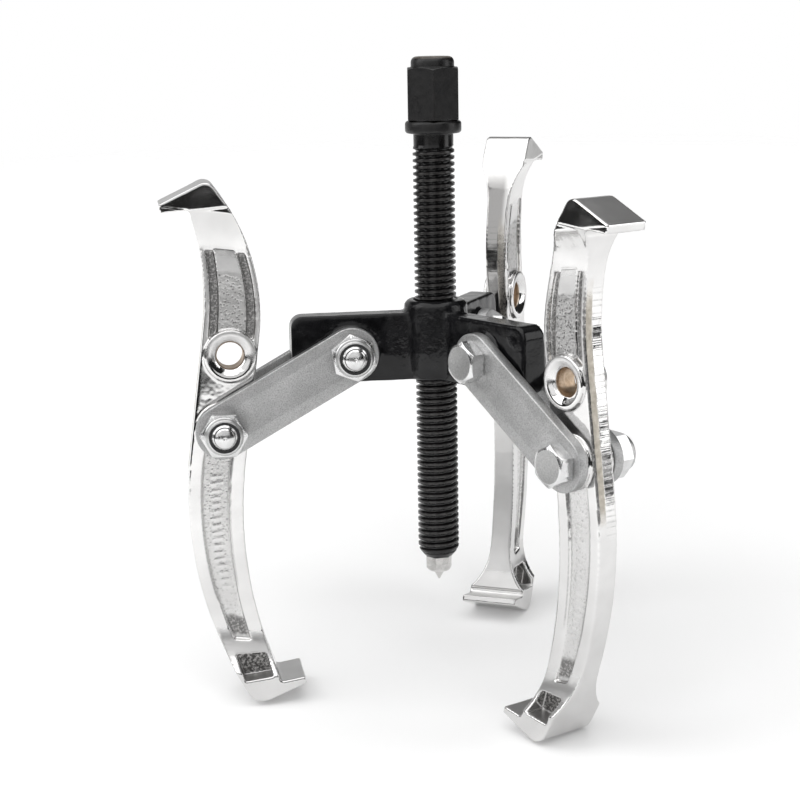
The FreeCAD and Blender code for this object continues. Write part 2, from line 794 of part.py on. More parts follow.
def jaw_outline_edges():
    """The jaw from the side: an S with a foot hooked inward and a hook bent outward."""
    lower_outer, lower_inner, upper_outer, upper_inner = jaw_edges()
    low = -size("lower_curve_level")
    high = size("upper_curve_level")
    down = lower_outer.arc(low, HEEL_START)
    heel = Part.Arc(down.EndPoint, HEEL_MIDDLE, HEEL_END)
    foot_end = lower_inner.point(FOOT_INNER_END)
    foot_round = Part.Arc(FOOT_ROOT, FOOT_ROOT_ROUND, foot_end)
    up_inner = lower_inner.arc(FOOT_INNER_END, low)
    up_crown = upper_inner.arc(high, HOOK_CROWN_START)
    crown = Part.Arc(up_crown.EndPoint, HOOK_CROWN_MIDDLE, HOOK_CROWN_END)
    hook_end = upper_outer.point(HOOK_OUTER_END)
    hook_round = Part.Arc(HOOK_ROOT, HOOK_ROOT_ROUND, hook_end)
    down_outer = upper_outer.arc(HOOK_OUTER_END, high)
    return [
        down,
        heel,
        line_to(heel, FOOT_TIP_BOTTOM),
        Part.LineSegment(FOOT_TIP_BOTTOM, FOOT_TIP_TOP),
        Part.LineSegment(FOOT_TIP_TOP, FOOT_ROOT),
        foot_round,
        up_inner,
        line_to(up_inner, up_crown.StartPoint),
        up_crown,
        crown,
        line_to(crown, HOOK_TIP_TOP),
        Part.LineSegment(HOOK_TIP_TOP, HOOK_TIP_BOTTOM),
        Part.LineSegment(HOOK_TIP_BOTTOM, HOOK_ROOT),
        hook_round,
        down_outer,
        line_to(down_outer, down.StartPoint),
    ]


def flare_edges():
    """What is forged away beside the limb, seen from outside: it flares out to both hooks."""
    limb = size("flange_thickness") / 2
    far = size("foot_width") / 2 + CLEAR

    def flare(radius, half_width, shoulder):
        """The start height of a flare and the arc's middle point, for one end of the limb."""
        angle = math.acos(1 - (half_width - limb) / radius)
        start = abs(shoulder) - radius * math.sin(angle)
        middle_y = limb + radius * (1 - math.cos(angle / 2))
        middle_z = start + radius * math.sin(angle / 2)
        return math.copysign(start, shoulder), Vector(middle_y, math.copysign(middle_z, shoulder), 0)

    hook_half = size("hook_width") / 2
    foot_half = size("foot_width") / 2
    top = size("hook_shoulder")
    bottom = -size("foot_shoulder")
    top_start, top_middle = flare(size("hook_flare_radius"), hook_half, top)
    bottom_start, bottom_middle = flare(size("foot_flare_radius"), foot_half, bottom)
    above = HOOK_CROWN_MIDDLE.y + CLEAR
    hook_flare = Part.Arc(Vector(hook_half, top, 0), top_middle, Vector(limb, top_start, 0))
    foot_flare = Part.Arc(Vector(limb, bottom_start, 0), bottom_middle,
                          Vector(foot_half, bottom, 0))
    return [
        Part.LineSegment(Vector(hook_half, above, 0), hook_flare.StartPoint),
        hook_flare,
        line_to(hook_flare, foot_flare.StartPoint),
        foot_flare,
        line_to(foot_flare, Vector(far, bottom, 0)),
        Part.LineSegment(Vector(far, bottom, 0), Vector(far, above, 0)),
        Part.LineSegment(Vector(far, above, 0), Vector(hook_half, above, 0)),
    ]


def strip_edges(first, first_inset, second, second_inset, start_z, end_z):
    """The strip between two limb edges, each moved by its inset, from one height to another."""
    down = first.arc(start_z, end_z, first_inset)
    back = second.arc(end_z, start_z, second_inset)
    return [down, line_to(down, back.StartPoint), back, line_to(back, down.StartPoint)]


def cut_recess(body, name, thickness, loops):
    """Recesses both faces of the jaw down to a given thickness, inside the given loops."""
    sketch = new_sketch(body, f"{name}_outline", "XZ_Plane")
    sketch.AttachmentOffset = Placement(Vector(0, 0, size(thickness) / 2), Rotation())
    bind(sketch, ".AttachmentOffset.Base.z", f"Sizes.{thickness} / 2")
    for loop in loops:
        add_path(sketch, loop)
    cut = cut_through(body, f"{name}_near", sketch, away=True)
    doc.recompute()
    mirror_across(body, f"{name}_both", [cut], "XZ_Plane")


def build_jaw(label):
    """A forged reversible jaw: an I-section limb with a foot, a hook and two bossed holes."""
    body = new_body(label)
    lower_outer, lower_inner, upper_outer, upper_inner = jaw_edges()
    outline = new_sketch(body, "side_outline", "XZ_Plane")
    add_path(outline, jaw_outline_edges())
    pad(body, "forging", outline, "Sizes.foot_width", both_ways=True)
    beside = new_sketch(body, "front_outline", "YZ_Plane")
    add_path(beside, flare_edges())
    flare_cut = cut_through(body, "flare_near", beside, both_ways=True)
    doc.recompute()
    mirror_across(body, "flare_both", [flare_cut], "XZ_Plane")

    web = strip_edges(lower_outer, -size("web_outer_rim"), lower_inner, size("web_inner_rim"),
                      size("web_top"), size("web_bottom"))
    cut_recess(body, "web", "web_thickness", [web, closed_lines(FOOT_POCKET)])
    inside = size("groove_inner_edge")
    outside = size("groove_outer_edge")
    panel = strip_edges(upper_outer, -inside, upper_inner, inside,
                        size("panel_bottom"), size("panel_top"))
    cut_recess(body, "panel", "panel_thickness", [panel])
    span = (size("groove_bottom"), size("groove_top"))
    outer_groove = strip_edges(upper_outer, -outside, upper_outer, -inside, *span)
    inner_groove = strip_edges(upper_inner, outside, upper_inner, inside, *span)
    cut_recess(body, "grooves", "groove_web_thickness", [outer_groove, inner_groove])

    bosses = new_sketch(body, "boss_outline", "XZ_Plane")
    add_circle(bosses, ("0", "0"), "boss_radius")
    pad(body, "main_boss", bosses, "Sizes.boss_thickness", both_ways=True)
    spare = new_sketch(body, "spare_boss_outline", "XZ_Plane")
    add_circle(spare, ("0", "hole_spacing"), "boss_radius")
    pad(body, "spare_boss", spare, "Sizes.boss_thickness", both_ways=True)
    holes = new_sketch(body, "hole_outline", "XZ_Plane")
    add_circle(holes, ("0", "0"), "pivot_hole_radius")
    cut_through(body, "main_hole", holes, both_ways=True)
    dish_sketch = new_sketch(body, "spare_hole_outline", "YZ_Plane")
    add_path(dish_sketch, spare_hole_edges())
    face = size("boss_thickness") / 2
    level = size("hole_spacing")
    axis_line = Part.LineSegment(Vector(-face, level, 0), Vector(face, level, 0))
    dish_sketch.addGeometry(axis_line, True)
    add_profile(body, "Groove", "spare_hole", dish_sketch, Angle=360,
                ReferenceAxis=(dish_sketch, ["Axis0"]))
    return body


def spare_hole_edges():
    """Half the section of the spare hole: a bore dished and chamfered at both faces."""
    middle = size("hole_spacing")
    face = size("boss_thickness") / 2
    half = (
        (face + CLEAR, 0.0),
        (face + CLEAR, size("dish_radius")),
        (face, size("dish_radius")),
        (face - size("dish_depth"), size("dish_floor_radius")),
        (face - size("bore_edge_depth"), size("pivot_hole_radius")),
    )
    near = [(-across_leg, middle + radius) for across_leg, radius in half]
    far = [(across_leg, middle + radius) for across_leg, radius in reversed(half)]
    return closed_lines(near + far)


# ---------------------------------------------------------------- assembly


def build_leg(index):
    """Everything that hangs on one arm: two straps, two bolts, two lock nuts and the jaw."""
    letter = "abc"[index]
    straps = strap_placement(index)
    inner_face = size("strap_gap") / 2
    outer_face = inner_face + size("strap_thickness")
    pieces = [
        (build_strap(f"strap_{letter}_nut_side"), straps * across(inner_face)),
        (build_strap(f"strap_{letter}_head_side"), straps * across(-outer_face)),
        (build_jaw(f"jaw_{letter}"), jaw_placement(index)),
    ]
    for name, along in (("yoke", 0.0), ("jaw", size("strap_length"))):
        pieces.append((build_bolt(f"{name}_bolt_{letter}"), straps * across(0, along)))
        seat = straps * across(outer_face, along)
        pieces.append((build_nut(f"{name}_nut_{letter}"), seat))
        pieces.append((build_insert(f"{name}_nut_insert_{letter}"), seat))
    for body, placement in pieces:
        body.Placement = placement
    return [body for body, placement in pieces]


def check_document():
    """Stops if any feature failed or any shape is null or invalid."""
    for item in doc.Objects:
        if "Invalid" in item.State or "Error" in item.State:
            raise RuntimeError(f"{item.Label} failed: {item.State}")


def write_parts(bodies):
    os.makedirs("parts", exist_ok=True)
    for body in bodies:
        shape = body.Shape
        if shape.isNull() or not shape.isValid() or len(shape.Solids) != 1:
            raise RuntimeError(f"{body.Label} is not one valid solid")
        shape.exportStep(f"parts/{body.Label}.step")
        print(f"{body.Label}: {shape.Volume / 1000:.2f} cm3")


fill_sheet()
parts = [
    build_crosshead(),
    build_forcing_screw(),
    build_pressure_tip(),
    build_ring("tip_retaining_ring", "ring_inner_radius", "ring_outer_radius",
               "ring_bottom_level", "ring_top_level"),
]
for leg in range(ARM_COUNT):
    parts.extend(build_leg(leg))
doc.recompute()
check_document()
write_parts(parts)
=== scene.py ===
"""The looks of the gear puller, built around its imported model, in metres."""
import bmesh
import bpy
import json
import math
import numpy as np
from mathutils import Matrix, Vector, noise


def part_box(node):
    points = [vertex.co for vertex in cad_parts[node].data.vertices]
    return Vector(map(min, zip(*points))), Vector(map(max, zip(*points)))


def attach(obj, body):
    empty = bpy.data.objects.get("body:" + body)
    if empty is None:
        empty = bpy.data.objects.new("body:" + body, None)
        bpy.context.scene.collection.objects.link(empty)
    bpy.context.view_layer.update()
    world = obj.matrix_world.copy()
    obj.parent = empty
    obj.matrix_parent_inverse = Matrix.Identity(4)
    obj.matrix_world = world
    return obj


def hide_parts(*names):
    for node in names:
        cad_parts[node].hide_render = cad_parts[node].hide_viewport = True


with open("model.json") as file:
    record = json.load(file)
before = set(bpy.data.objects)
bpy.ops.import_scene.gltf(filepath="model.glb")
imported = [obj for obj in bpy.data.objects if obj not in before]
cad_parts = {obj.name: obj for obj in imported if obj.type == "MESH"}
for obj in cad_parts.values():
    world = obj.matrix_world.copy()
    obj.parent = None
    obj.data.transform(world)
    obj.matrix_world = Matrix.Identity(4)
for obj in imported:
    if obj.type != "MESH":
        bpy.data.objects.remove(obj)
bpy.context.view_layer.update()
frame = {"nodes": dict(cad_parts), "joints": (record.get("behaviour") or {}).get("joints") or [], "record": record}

MM = 0.001
UP = Vector((0, 0, 1))
LETTERS = "abc"
JOINTS = {joint["name"]: joint for joint in frame["joints"]}
MOUNTS = {mount["name"]: mount for mount in frame["record"]["mounts"]}

# The main sizes of the part, in millimetres.
SCREW_RADIUS = 8.0
CORE_RADIUS = 6.7
SHANK_RADIUS = 7.6
THREAD_PITCH = 2.5
RIDGE_ROOT_HALF = 0.98
RIDGE_CREST_HALF = 0.43
SCREW_END = 10.0
NOSE_LEVEL = 14.5
NOSE_RIM_RADIUS = 5.4
THREAD_TOP = 171.0
COLLAR_BOTTOM = 175.3
COLLAR_TOP = 180.0
COLLAR_RADIUS = 10.7
COLLAR_ROUNDING = 1.2
DRIVE_TOP = 200.0
DRIVE_ACROSS_FLATS = 19.0
DRIVE_CORNER_ANGLE = 22.0
CROWN_RADIUS = 8.2
CROWN_TOP = 204.0
CROWN_ROUNDING = 2.2
SOCKET_RADIUS = 3.1
SOCKET_TOP = 24.6
TIP_ACROSS_FLATS = 9.0
TIP_CORNER_ANGLE = 8.0
TIP_CORNER_RADIUS = 5.2
TIP_BEVEL_RADIUS = 4.0
TIP_BOTTOM = 3.9
TIP_TOP = 9.9
STEM_RADIUS = 2.9
STEM_TOP = 24.0
STEM_GROOVE_BOTTOM = 19.3
STEM_GROOVE_TOP = 20.1
STEM_GROOVE_DEPTH = 0.6
STRAP_LENGTH = 57.0
STRAP_HALF_WIDTH = 10.4
STRAP_THICKNESS = 4.2
STRAP_GAP = 13.2
STRAP_EDGE = 0.45
HOLE_RADIUS = 5.08
BOLT_RADIUS = 5.0
BOLT_END = 22.5
DOME_RADIUS = 4.2
DOME_HEIGHT = 1.7
HEAD_ACROSS_FLATS = 14.0
HEAD_HEIGHT = 6.2
NUT_ACROSS_FLATS = 16.0
NUT_HEX_HEIGHT = 7.0
NUT_HEIGHT = 9.8
NUT_BORE_RADIUS = 5.02
NUT_MOUTH_RADIUS = 5.95
INSERT_GROOVE_RADIUS = 6.3
HOLE_SPACING = 28.7
FLANGE_HALF = 4.6
HUB_RADIUS = 12.2
HUB_END = 12.5
ARM_START = 17.0
BORE_RADIUS = 8.35
ARM_HALF = 5.0
PARTING_LEVEL = 92.0
PARTING_HALF = 5.7
UPPER_DRAFT = math.radians(2.6)
LOWER_DRAFT = math.radians(5.5)

# The jaw in its own frame: the four arcs of its limbs' edges, and the shoulder under its hook.
LIMB_OUTER = 11.0
LIMB_INNER = -10.4
LOWER_START = -12.0
UPPER_START = 36.5
LOWER_OUTER_RADIUS = 145.0
LOWER_INNER_RADIUS = 168.0
UPPER_OUTER_RADIUS = 105.0
UPPER_INNER_RADIUS = 77.5
HOOK_ROOT_OUT = 22.2
HOOK_ROOT_LEVEL = 82.0
HOOK_SLOPE = 0.223
HOOK_SHOULDER = 82.5
HOOK_FLARE = 0.58

# Where the features of the jaw's finish begin and end along it, as levels in its own frame.
UPPER_LIMB_ABOVE = 10.0
HOOK_ABOVE = 79.0
FOOT_BELOW = -84.0
POCKET_SPAN = (-99.0, -86.0)
WEB_END_SPAN = (-84.0, -75.0)
WEB_SPAN = (-80.0, -6.0)
INNER_WALL_SPAN = (-58.0, -14.0)
OUTER_WALL_SPAN = (-64.0, -14.0)
RIB_SPAN = (-62.0, -19.0)
RIB_PITCH = 2.7
TRIM_MARK_SPAN = (-24.0, 58.0)
TRIM_MARK_PITCH = 2.2
FLASH_SPAN = (-14.0, 54.0)
# Where the painted dark reflection lies on the upper limb's inner face.
PAINTED_DARK_REFLECTION_SPAN = (26.0, 74.0)
GROOVE_SPAN = (30.0, 67.0)
PITTED_SPAN = (31.0, 58.0)
FILLED_SPAN = (52.0, 73.0)


# ---------------------------------------------------------------- places of the legs


def placement(origin, outward, across, upward):
    """A frame in metres whose x, y and z axes are the three directions."""
    matrix = Matrix((outward, across, upward)).transposed().to_4x4()
    matrix.translation = origin
    return matrix


def strap_frame(letter):
    """Origin on the crosshead's pivot, x along the straps, y across the leg to the nuts."""
    pivot = Vector(JOINTS[f"link_swing_{letter}"]["pos_m"])
    along = (Vector(JOINTS[f"jaw_swing_{letter}"]["pos_m"]) - pivot).normalized()
    across = Vector(JOINTS[f"link_swing_{letter}"]["axis"]).normalized()
    return placement(pivot, along, across, along.cross(across))


def jaw_frame(letter):
    """Origin on the jaw's pivot, x away from the screw, z up the jaw to its spare hole."""
    pivot = Vector(JOINTS[f"jaw_swing_{letter}"]["pos_m"])
    upward = (Vector(MOUNTS[f"spare_hole_{letter}"]["pos_m"]) - pivot).normalized()
    across = Vector(JOINTS[f"jaw_swing_{letter}"]["axis"]).normalized()
    return placement(pivot, across.cross(upward), across, upward)


def across_leg(letter, along, distance):
    """A frame whose z runs across the leg to the nut side, for a fastener on a strap's pivot."""
    local = Matrix.Translation(Vector((along, distance, 0)) * MM)
    turn = Matrix.Rotation(math.radians(-90), 4, "X")
    return strap_frame(letter) @ local @ turn


# ---------------------------------------------------------------- mesh helpers


def finish_mesh(mesh, sharp_angle):
    """Makes the normals point outward and shades the faces smooth up to the angle."""
    work = bmesh.new()
    work.from_mesh(mesh)
    bmesh.ops.recalc_face_normals(work, faces=work.faces)
    work.to_mesh(mesh)
    work.free()
    mesh.shade_smooth()
    mesh.set_sharp_from_angle(angle=math.radians(sharp_angle))


def evaluated_mesh(holder):
    """The mesh that an object's curve or modifiers give. The object is then removed."""
    bpy.context.scene.collection.objects.link(holder)
    graph = bpy.context.evaluated_depsgraph_get()
    mesh = bpy.data.meshes.new_from_object(holder.evaluated_get(graph))
    bpy.data.objects.remove(holder)
    return mesh


def add_piece(name, mesh, material, body, node):
    """Puts a finished mesh in the scene in place of a node of the frame."""
    piece = bpy.data.objects.new(name, mesh)
    bpy.context.scene.collection.objects.link(piece)
    mesh.materials.clear()
    mesh.materials.append(material)
    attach(piece, body)
    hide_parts(node)
    return piece


def set_attribute(mesh, name, values):
    attribute = mesh.attributes.new(name, "FLOAT", "POINT")
    attribute.data.foreach_set("value", np.asarray(values, dtype=np.float32))


def arrays_of(mesh):
    """The points in millimetres and the normals of a mesh."""
    count = len(mesh.vertices)
    points = np.empty(count * 3)
    mesh.vertices.foreach_get("co", points)
    normals = np.empty(count * 3)
    mesh.vertices.foreach_get("normal", normals)
    return points.reshape(-1, 3) / MM, normals.reshape(-1, 3)


def smooth_step(low, high, value):
    """Goes smoothly from 0 at low to 1 at high, and low may be the larger of the two."""
    share = np.clip((value - low) / (high - low), 0, 1)
    return share * share * (3 - 2 * share)


def window(value, low, high, soft):
    """One inside low..high, falling to zero over a soft border outside it."""
    return smooth_step(low - soft, low, value) * (1 - smooth_step(high, high + soft, value))


def ring_angles(count, first):
    """The angles of the columns of a turned piece, in degrees."""
    return first + np.arange(count) * 360.0 / count


def turned_mesh(name, rows, angles, place, closed=False):
    """A mesh turned about z from rows of (radius, level) in mm; both may vary with the angle.

    A closed section, such as a ring's, joins its last row to its first. An open one is capped.
    """
    count = len(angles)
    turned = np.radians(angles)
    rings = []
    for radius, level in rows:
        radius = np.broadcast_to(radius, count)
        level = np.broadcast_to(level, count)
        rings.append(np.stack([radius * np.cos(turned), radius * np.sin(turned), level], axis=1))
    points = np.concatenate(rings)
    step = np.arange(count)
    following = (step + 1) % count
    faces = []
    pairs = [(row, row + 1) for row in range(len(rings) - 1)]
    if closed:
        pairs.append((len(rings) - 1, 0))
    for low, high in pairs:
        quads = np.stack([low * count + step, low * count + following,
                          high * count + following, high * count + step], axis=1)
        faces.extend(quads.tolist())
    if not closed:
        for row in (0, len(rings) - 1):
            middle = rings[row].mean(axis=0)
            points = np.vstack([points, middle])
            centre = len(points) - 1
            fan = np.stack([row * count + step, row * count + following,
                            np.full(count, centre)], axis=1)
            faces.extend(fan.tolist())
    mesh = bpy.data.meshes.new(name)
    mesh.from_pydata((points * MM).tolist(), [], faces)
    mesh.transform(place)
    return mesh


def hexagon_radius(across_flats, angles, corner_angle):
    """The distance from a hexagon's axis to its side, at each angle."""
    from_flat = (angles - corner_angle) % 60.0 - 30.0
    return across_flats / 2 / np.cos(np.radians(from_flat))


def chamfer_depth(radius, start):
    """How deep a 30 degree chamfer that starts at a radius has cut, further out."""
    return np.maximum(radius - start, 0.0) * math.tan(math.radians(30))


def arc_rows(radius, level, size, first, last, steps=4):
    """Rows round the quarter of a turned edge: centre (radius, level), from angle to angle."""
    turned = np.radians(np.linspace(first, last, steps + 1))
    return [(radius + size * math.cos(a), level + size * math.sin(a)) for a in turned]


# ---------------------------------------------------------------- materials


class Graph:
    """A node tree, with short ways to add and join the nodes that the looks need."""

    def __init__(self, tree):
        self.nodes = tree.nodes
        self.links = tree.links

    def feed(self, socket, value):
        """Sets a number or a colour on a socket, or links another node's output to it."""
        if isinstance(value, tuple):
            socket.default_value = (*value, 1)
        elif isinstance(value, (float, int)):
            socket.default_value = value
        else:
            self.links.new(value, socket)

    def ramp(self, source, low, high, start, end, easing="LINEAR"):
        """Maps source from low..high to the two ends, which are numbers or colours."""
        if isinstance(start, tuple):
            node = self.nodes.new("ShaderNodeValToRGB")
            first, last = node.color_ramp.elements
            first.position = low
            first.color = (*start, 1)
            last.position = high
            last.color = (*end, 1)
            self.feed(node.inputs["Fac"], source)
            return node.outputs["Color"]
        node = self.nodes.new("ShaderNodeMapRange")
        node.interpolation_type = easing
        values = {"Value": source, "From Min": low, "From Max": high, "To Min": start, "To Max": end}
        for name, value in values.items():
            self.feed(node.inputs[name], value)
        return node.outputs["Result"]

    def blend(self, share, first, second, kind="Color"):
        """Goes from the first colour to the second as the share rises from 0 to 1."""
        node = self.nodes.new("ShaderNodeMix")
        node.data_type = "RGBA" if kind == "Color" else "FLOAT"
        sockets = {socket.identifier: socket for socket in (*node.inputs, *node.outputs)}
        self.feed(sockets["Factor_Float"], share)
        self.feed(sockets[f"A_{kind}"], first)
        self.feed(sockets[f"B_{kind}"], second)
        return sockets[f"Result_{kind}"]

    def blend_number(self, share, first, second):
        return self.blend(share, first, second, "Float")

    def combine(self, operation, first, second):
        node = self.nodes.new("ShaderNodeMath")
        node.operation = operation
        self.feed(node.inputs[0], first)
        self.feed(node.inputs[1], second)
        return node.outputs["Value"]

    def times(self, first, second):
        return self.combine("MULTIPLY", first, second)

    def highest(self, first, second):
        return self.combine("MAXIMUM", first, second)


class Surface(Graph):
    """A material with a principled shader, and with textures in the object's own space."""

    def __init__(self, name, **plain):
        self.material = bpy.data.materials.new(name)
        self.material.use_nodes = True
        super().__init__(self.material.node_tree)
        self.shader = self.nodes["Principled BSDF"]
        for socket, value in plain.items():
            self.shader.inputs[socket.replace("_", " ")].default_value = value
        self.place = self.nodes.new("ShaderNodeTexCoord").outputs["Object"]

    def link(self, output, socket):
        self.links.new(output, self.shader.inputs[socket])

    def noise(self, scale, detail=2.0, rough=0.5, stretch=(1, 1, 1)):
        """Noise with features of about 1 / scale metres."""
        mapping = self.nodes.new("ShaderNodeMapping")
        mapping.inputs["Scale"].default_value = stretch
        self.links.new(self.place, mapping.inputs["Vector"])
        texture = self.nodes.new("ShaderNodeTexNoise")
        texture.inputs["Scale"].default_value = scale
        texture.inputs["Detail"].default_value = detail
        texture.inputs["Roughness"].default_value = rough
        self.links.new(mapping.outputs["Vector"], texture.inputs["Vector"])
        return texture.outputs["Fac"]

    def cells(self, scale):
        texture = self.nodes.new("ShaderNodeTexVoronoi")
        texture.inputs["Scale"].default_value = scale
        self.links.new(self.place, texture.inputs["Vector"])
        return texture.outputs["Distance"]

    def attribute(self, name):
        node = self.nodes.new("ShaderNodeAttribute")
        node.attribute_name = name
        return node.outputs["Fac"]

    def bump(self, height, depth, after=None):
        """Adds relief of a given depth in mm, on top of the relief before it."""
        node = self.nodes.new("ShaderNodeBump")
        node.inputs["Strength"].default_value = 1.0
        node.inputs["Distance"].default_value = depth * MM
        self.links.new(height, node.inputs["Height"])
        if after is not None:
            self.links.new(after, node.inputs["Normal"])
        self.link(node.outputs["Normal"], "Normal")
        return node.outputs["Normal"]


def chrome_material():
    """Polished plate over a forging: pitted panels, painted shade in the grooves and recesses, a painted dark
    reflection on the upper inner face, a bare bore and trim marks.
    """
    skin = Surface("jaw_chrome", Metallic=1.0)
    grain = skin.attribute("grain")
    flash = skin.attribute("flash")
    painted_shade_and_trim_marks = skin.attribute("painted_shade_and_trim_marks")
    bare = skin.attribute("bare")
    mottled = skin.noise(420, 4.0, 0.65)
    speckle = skin.noise(2600, 3.0, 0.6)
    pits = skin.ramp(skin.cells(850), 0.08, 0.5, 0.0, 1.0)
    rough = skin.ramp(skin.noise(90, 3.0), 0.35, 0.7, 0.06, 0.15)
    rough = skin.blend_number(grain, rough, skin.ramp(mottled, 0.35, 0.65, 0.24, 0.36))
    rough = skin.blend_number(flash, rough, skin.ramp(speckle, 0.3, 0.7, 0.30, 0.46))
    rough = skin.blend_number(skin.highest(painted_shade_and_trim_marks, bare), rough, 0.38)
    rough = skin.blend_number(skin.attribute("satin"), rough, 0.33)
    skin.link(rough, "Roughness")
    colour = skin.ramp(skin.noise(60, 3.0), 0.3, 0.7, (0.64, 0.635, 0.63), (0.73, 0.725, 0.72))
    # A painted dark reflection, darkening the upper limb's inner face.
    colour = skin.blend(skin.attribute("painted_dark_reflection"), colour, (0.26, 0.255, 0.25))
    dark_pits = skin.ramp(skin.times(mottled, pits), 0.05, 0.40, (0.15, 0.147, 0.143),
                          (0.52, 0.515, 0.51))
    colour = skin.blend(skin.times(grain, 0.9), colour, dark_pits)
    colour = skin.blend(flash, colour, skin.ramp(mottled, 0.35, 0.7, (0.40, 0.365, 0.31),
                                                 (0.62, 0.585, 0.52)))
    # Painted shade in the grooves and recesses, and dark trim marks: a mottled dark colour.
    shade_and_mark_colour = skin.ramp(skin.noise(1100, 5.0, 0.7), 0.47, 0.62, (0.012, 0.011, 0.010),
                     (0.42, 0.41, 0.40))
    colour = skin.blend(skin.times(painted_shade_and_trim_marks, 0.9), colour, shade_and_mark_colour)
    colour = skin.blend(bare, colour, skin.ramp(mottled, 0.3, 0.7, (0.34, 0.24, 0.16),
                                                (0.62, 0.50, 0.38)))
    skin.link(colour, "Base Color")
    relief = skin.bump(skin.noise(160, 2.0), 0.08)
    relief = skin.bump(skin.times(grain, skin.times(mottled, pits)), 0.24, relief)
    skin.bump(skin.times(skin.highest(flash, painted_shade_and_trim_marks), speckle), 0.10, relief)
    return skin.material


def black_gloss_material():
    """Thick glossy black over a forging, with orange peel where the scale was rough."""
    skin = Surface("crosshead_black", Metallic=0.0, IOR=1.36)
    peel = skin.attribute("peel")
    skin.link(skin.ramp(skin.noise(300, 4.0), 0.35, 0.7, (0.0035, 0.0035, 0.004),
                        (0.008, 0.008, 0.009)), "Base Color")
    rough = skin.ramp(skin.noise(260, 4.0), 0.35, 0.7, 0.10, 0.20)
    skin.link(skin.blend_number(peel, rough, 0.16), "Roughness")
    relief = skin.bump(skin.noise(150, 3.0, 0.55), 0.12)
    fine = skin.times(skin.noise(700, 3.0, 0.6), skin.ramp(peel, 0.0, 1.0, 0.25, 1.0))
    skin.bump(fine, 0.20, relief)
    return skin.material


def black_oxide_material():
    """Black oxide: an oiled thread lighter on its crests, from wear and a painted highlight, a dull drive, and a
    crown top lighter from scuffs and a painted highlight.
    """
    skin = Surface("screw_black", Metallic=0.0, IOR=1.42)
    # Lighter crests: partly wear, partly a painted highlight along each crest.
    wear_and_painted_highlight = skin.times(skin.attribute("crest"), skin.ramp(skin.noise(600, 4.0), 0.35, 0.65, 0.3, 0.9))
    colour = skin.ramp(skin.noise(250, 4.0), 0.35, 0.7, (0.003, 0.003, 0.0035),
                       (0.007, 0.0065, 0.0065))
    colour = skin.blend(wear_and_painted_highlight, colour, (0.040, 0.038, 0.037))
    # A lighter, tan crown top: partly scuffs, partly a painted highlight on the top.
    scuff_and_painted_highlight = skin.ramp(skin.noise(800, 4.0), 0.3, 0.7, (0.05, 0.042, 0.035), (0.16, 0.14, 0.12))
    skin.link(skin.blend(skin.attribute("crown"), colour, scuff_and_painted_highlight), "Base Color")
    uneven = skin.noise(400, 3.0)
    oiled = skin.ramp(uneven, 0.3, 0.7, 0.14, 0.20)
    dull = skin.ramp(uneven, 0.3, 0.7, 0.30, 0.40)
    skin.link(skin.blend_number(skin.attribute("drive"), oiled, dull), "Roughness")
    relief = skin.bump(skin.noise(1800, 2.0, 0.5), 0.006)
    skin.bump(skin.noise(350, 2.0), 0.03, relief)
    return skin.material


def zinc_plate_material():
    """Matte plated strip with a fine speckled grain."""
    skin = Surface("strap_zinc", Metallic=1.0)
    speckle = skin.noise(2300, 3.0, 0.7)
    cloud = skin.noise(90, 3.0)
    colour = skin.blend(skin.ramp(cloud, 0.3, 0.7, 0.0, 1.0), (0.44, 0.44, 0.44),
                        (0.55, 0.55, 0.55))
    dots = skin.ramp(speckle, 0.44, 0.66, 0.0, 0.75)
    skin.link(skin.blend(dots, colour, (0.22, 0.22, 0.22)), "Base Color")
    skin.link(skin.ramp(speckle, 0.3, 0.75, 0.40, 0.54), "Roughness")
    relief = skin.bump(speckle, 0.05)
    skin.bump(skin.noise(500, 3.0), 0.05, relief)
    return skin.material


def bright_zinc_material():
    """Plated fasteners: bright flats and chamfers, satin faces and crimped collars."""
    skin = Surface("fastener_zinc", Metallic=1.0)
    satin = skin.attribute("satin")
    fine = skin.noise(1900, 3.0, 0.6)
    colour = skin.ramp(skin.noise(240, 4.0), 0.3, 0.7, (0.60, 0.60, 0.60), (0.74, 0.74, 0.74))
    skin.link(skin.blend(satin, colour, skin.ramp(fine, 0.35, 0.7, (0.36, 0.36, 0.36),
                                                  (0.54, 0.54, 0.535))), "Base Color")
    rough = skin.ramp(fine, 0.3, 0.7, 0.12, 0.24)
    skin.link(skin.blend_number(satin, rough, 0.42), "Roughness")
    relief = skin.bump(fine, 0.03)
    skin.bump(skin.noise(300, 2.0), 0.06, relief)
    return skin.material


def nylon_material():
    skin = Surface("insert_nylon")
    skin.link(skin.ramp(skin.noise(900, 3.0), 0.3, 0.7, (0.008, 0.008, 0.009),
                        (0.022, 0.022, 0.023)), "Base Color")
    skin.link(skin.ramp(skin.noise(1400, 2.0), 0.3, 0.7, 0.38, 0.55), "Roughness")
    skin.bump(skin.noise(1200, 2.0), 0.03)
    return skin.material


def turned_steel_material():
    """Bare turned steel, with fine rings left by the tool."""
    skin = Surface("tip_steel", Metallic=1.0)
    rings = skin.noise(900, 2.0, 0.5, (0.2, 0.2, 4.0))
    skin.link(skin.ramp(skin.noise(400, 4.0), 0.3, 0.7, (0.55, 0.54, 0.53),
                        (0.74, 0.73, 0.72)), "Base Color")
    skin.link(skin.ramp(rings, 0.3, 0.7, 0.16, 0.30), "Roughness")
    skin.bump(rings, 0.03)
    return skin.material


# ---------------------------------------------------------------- forcing screw and its tip


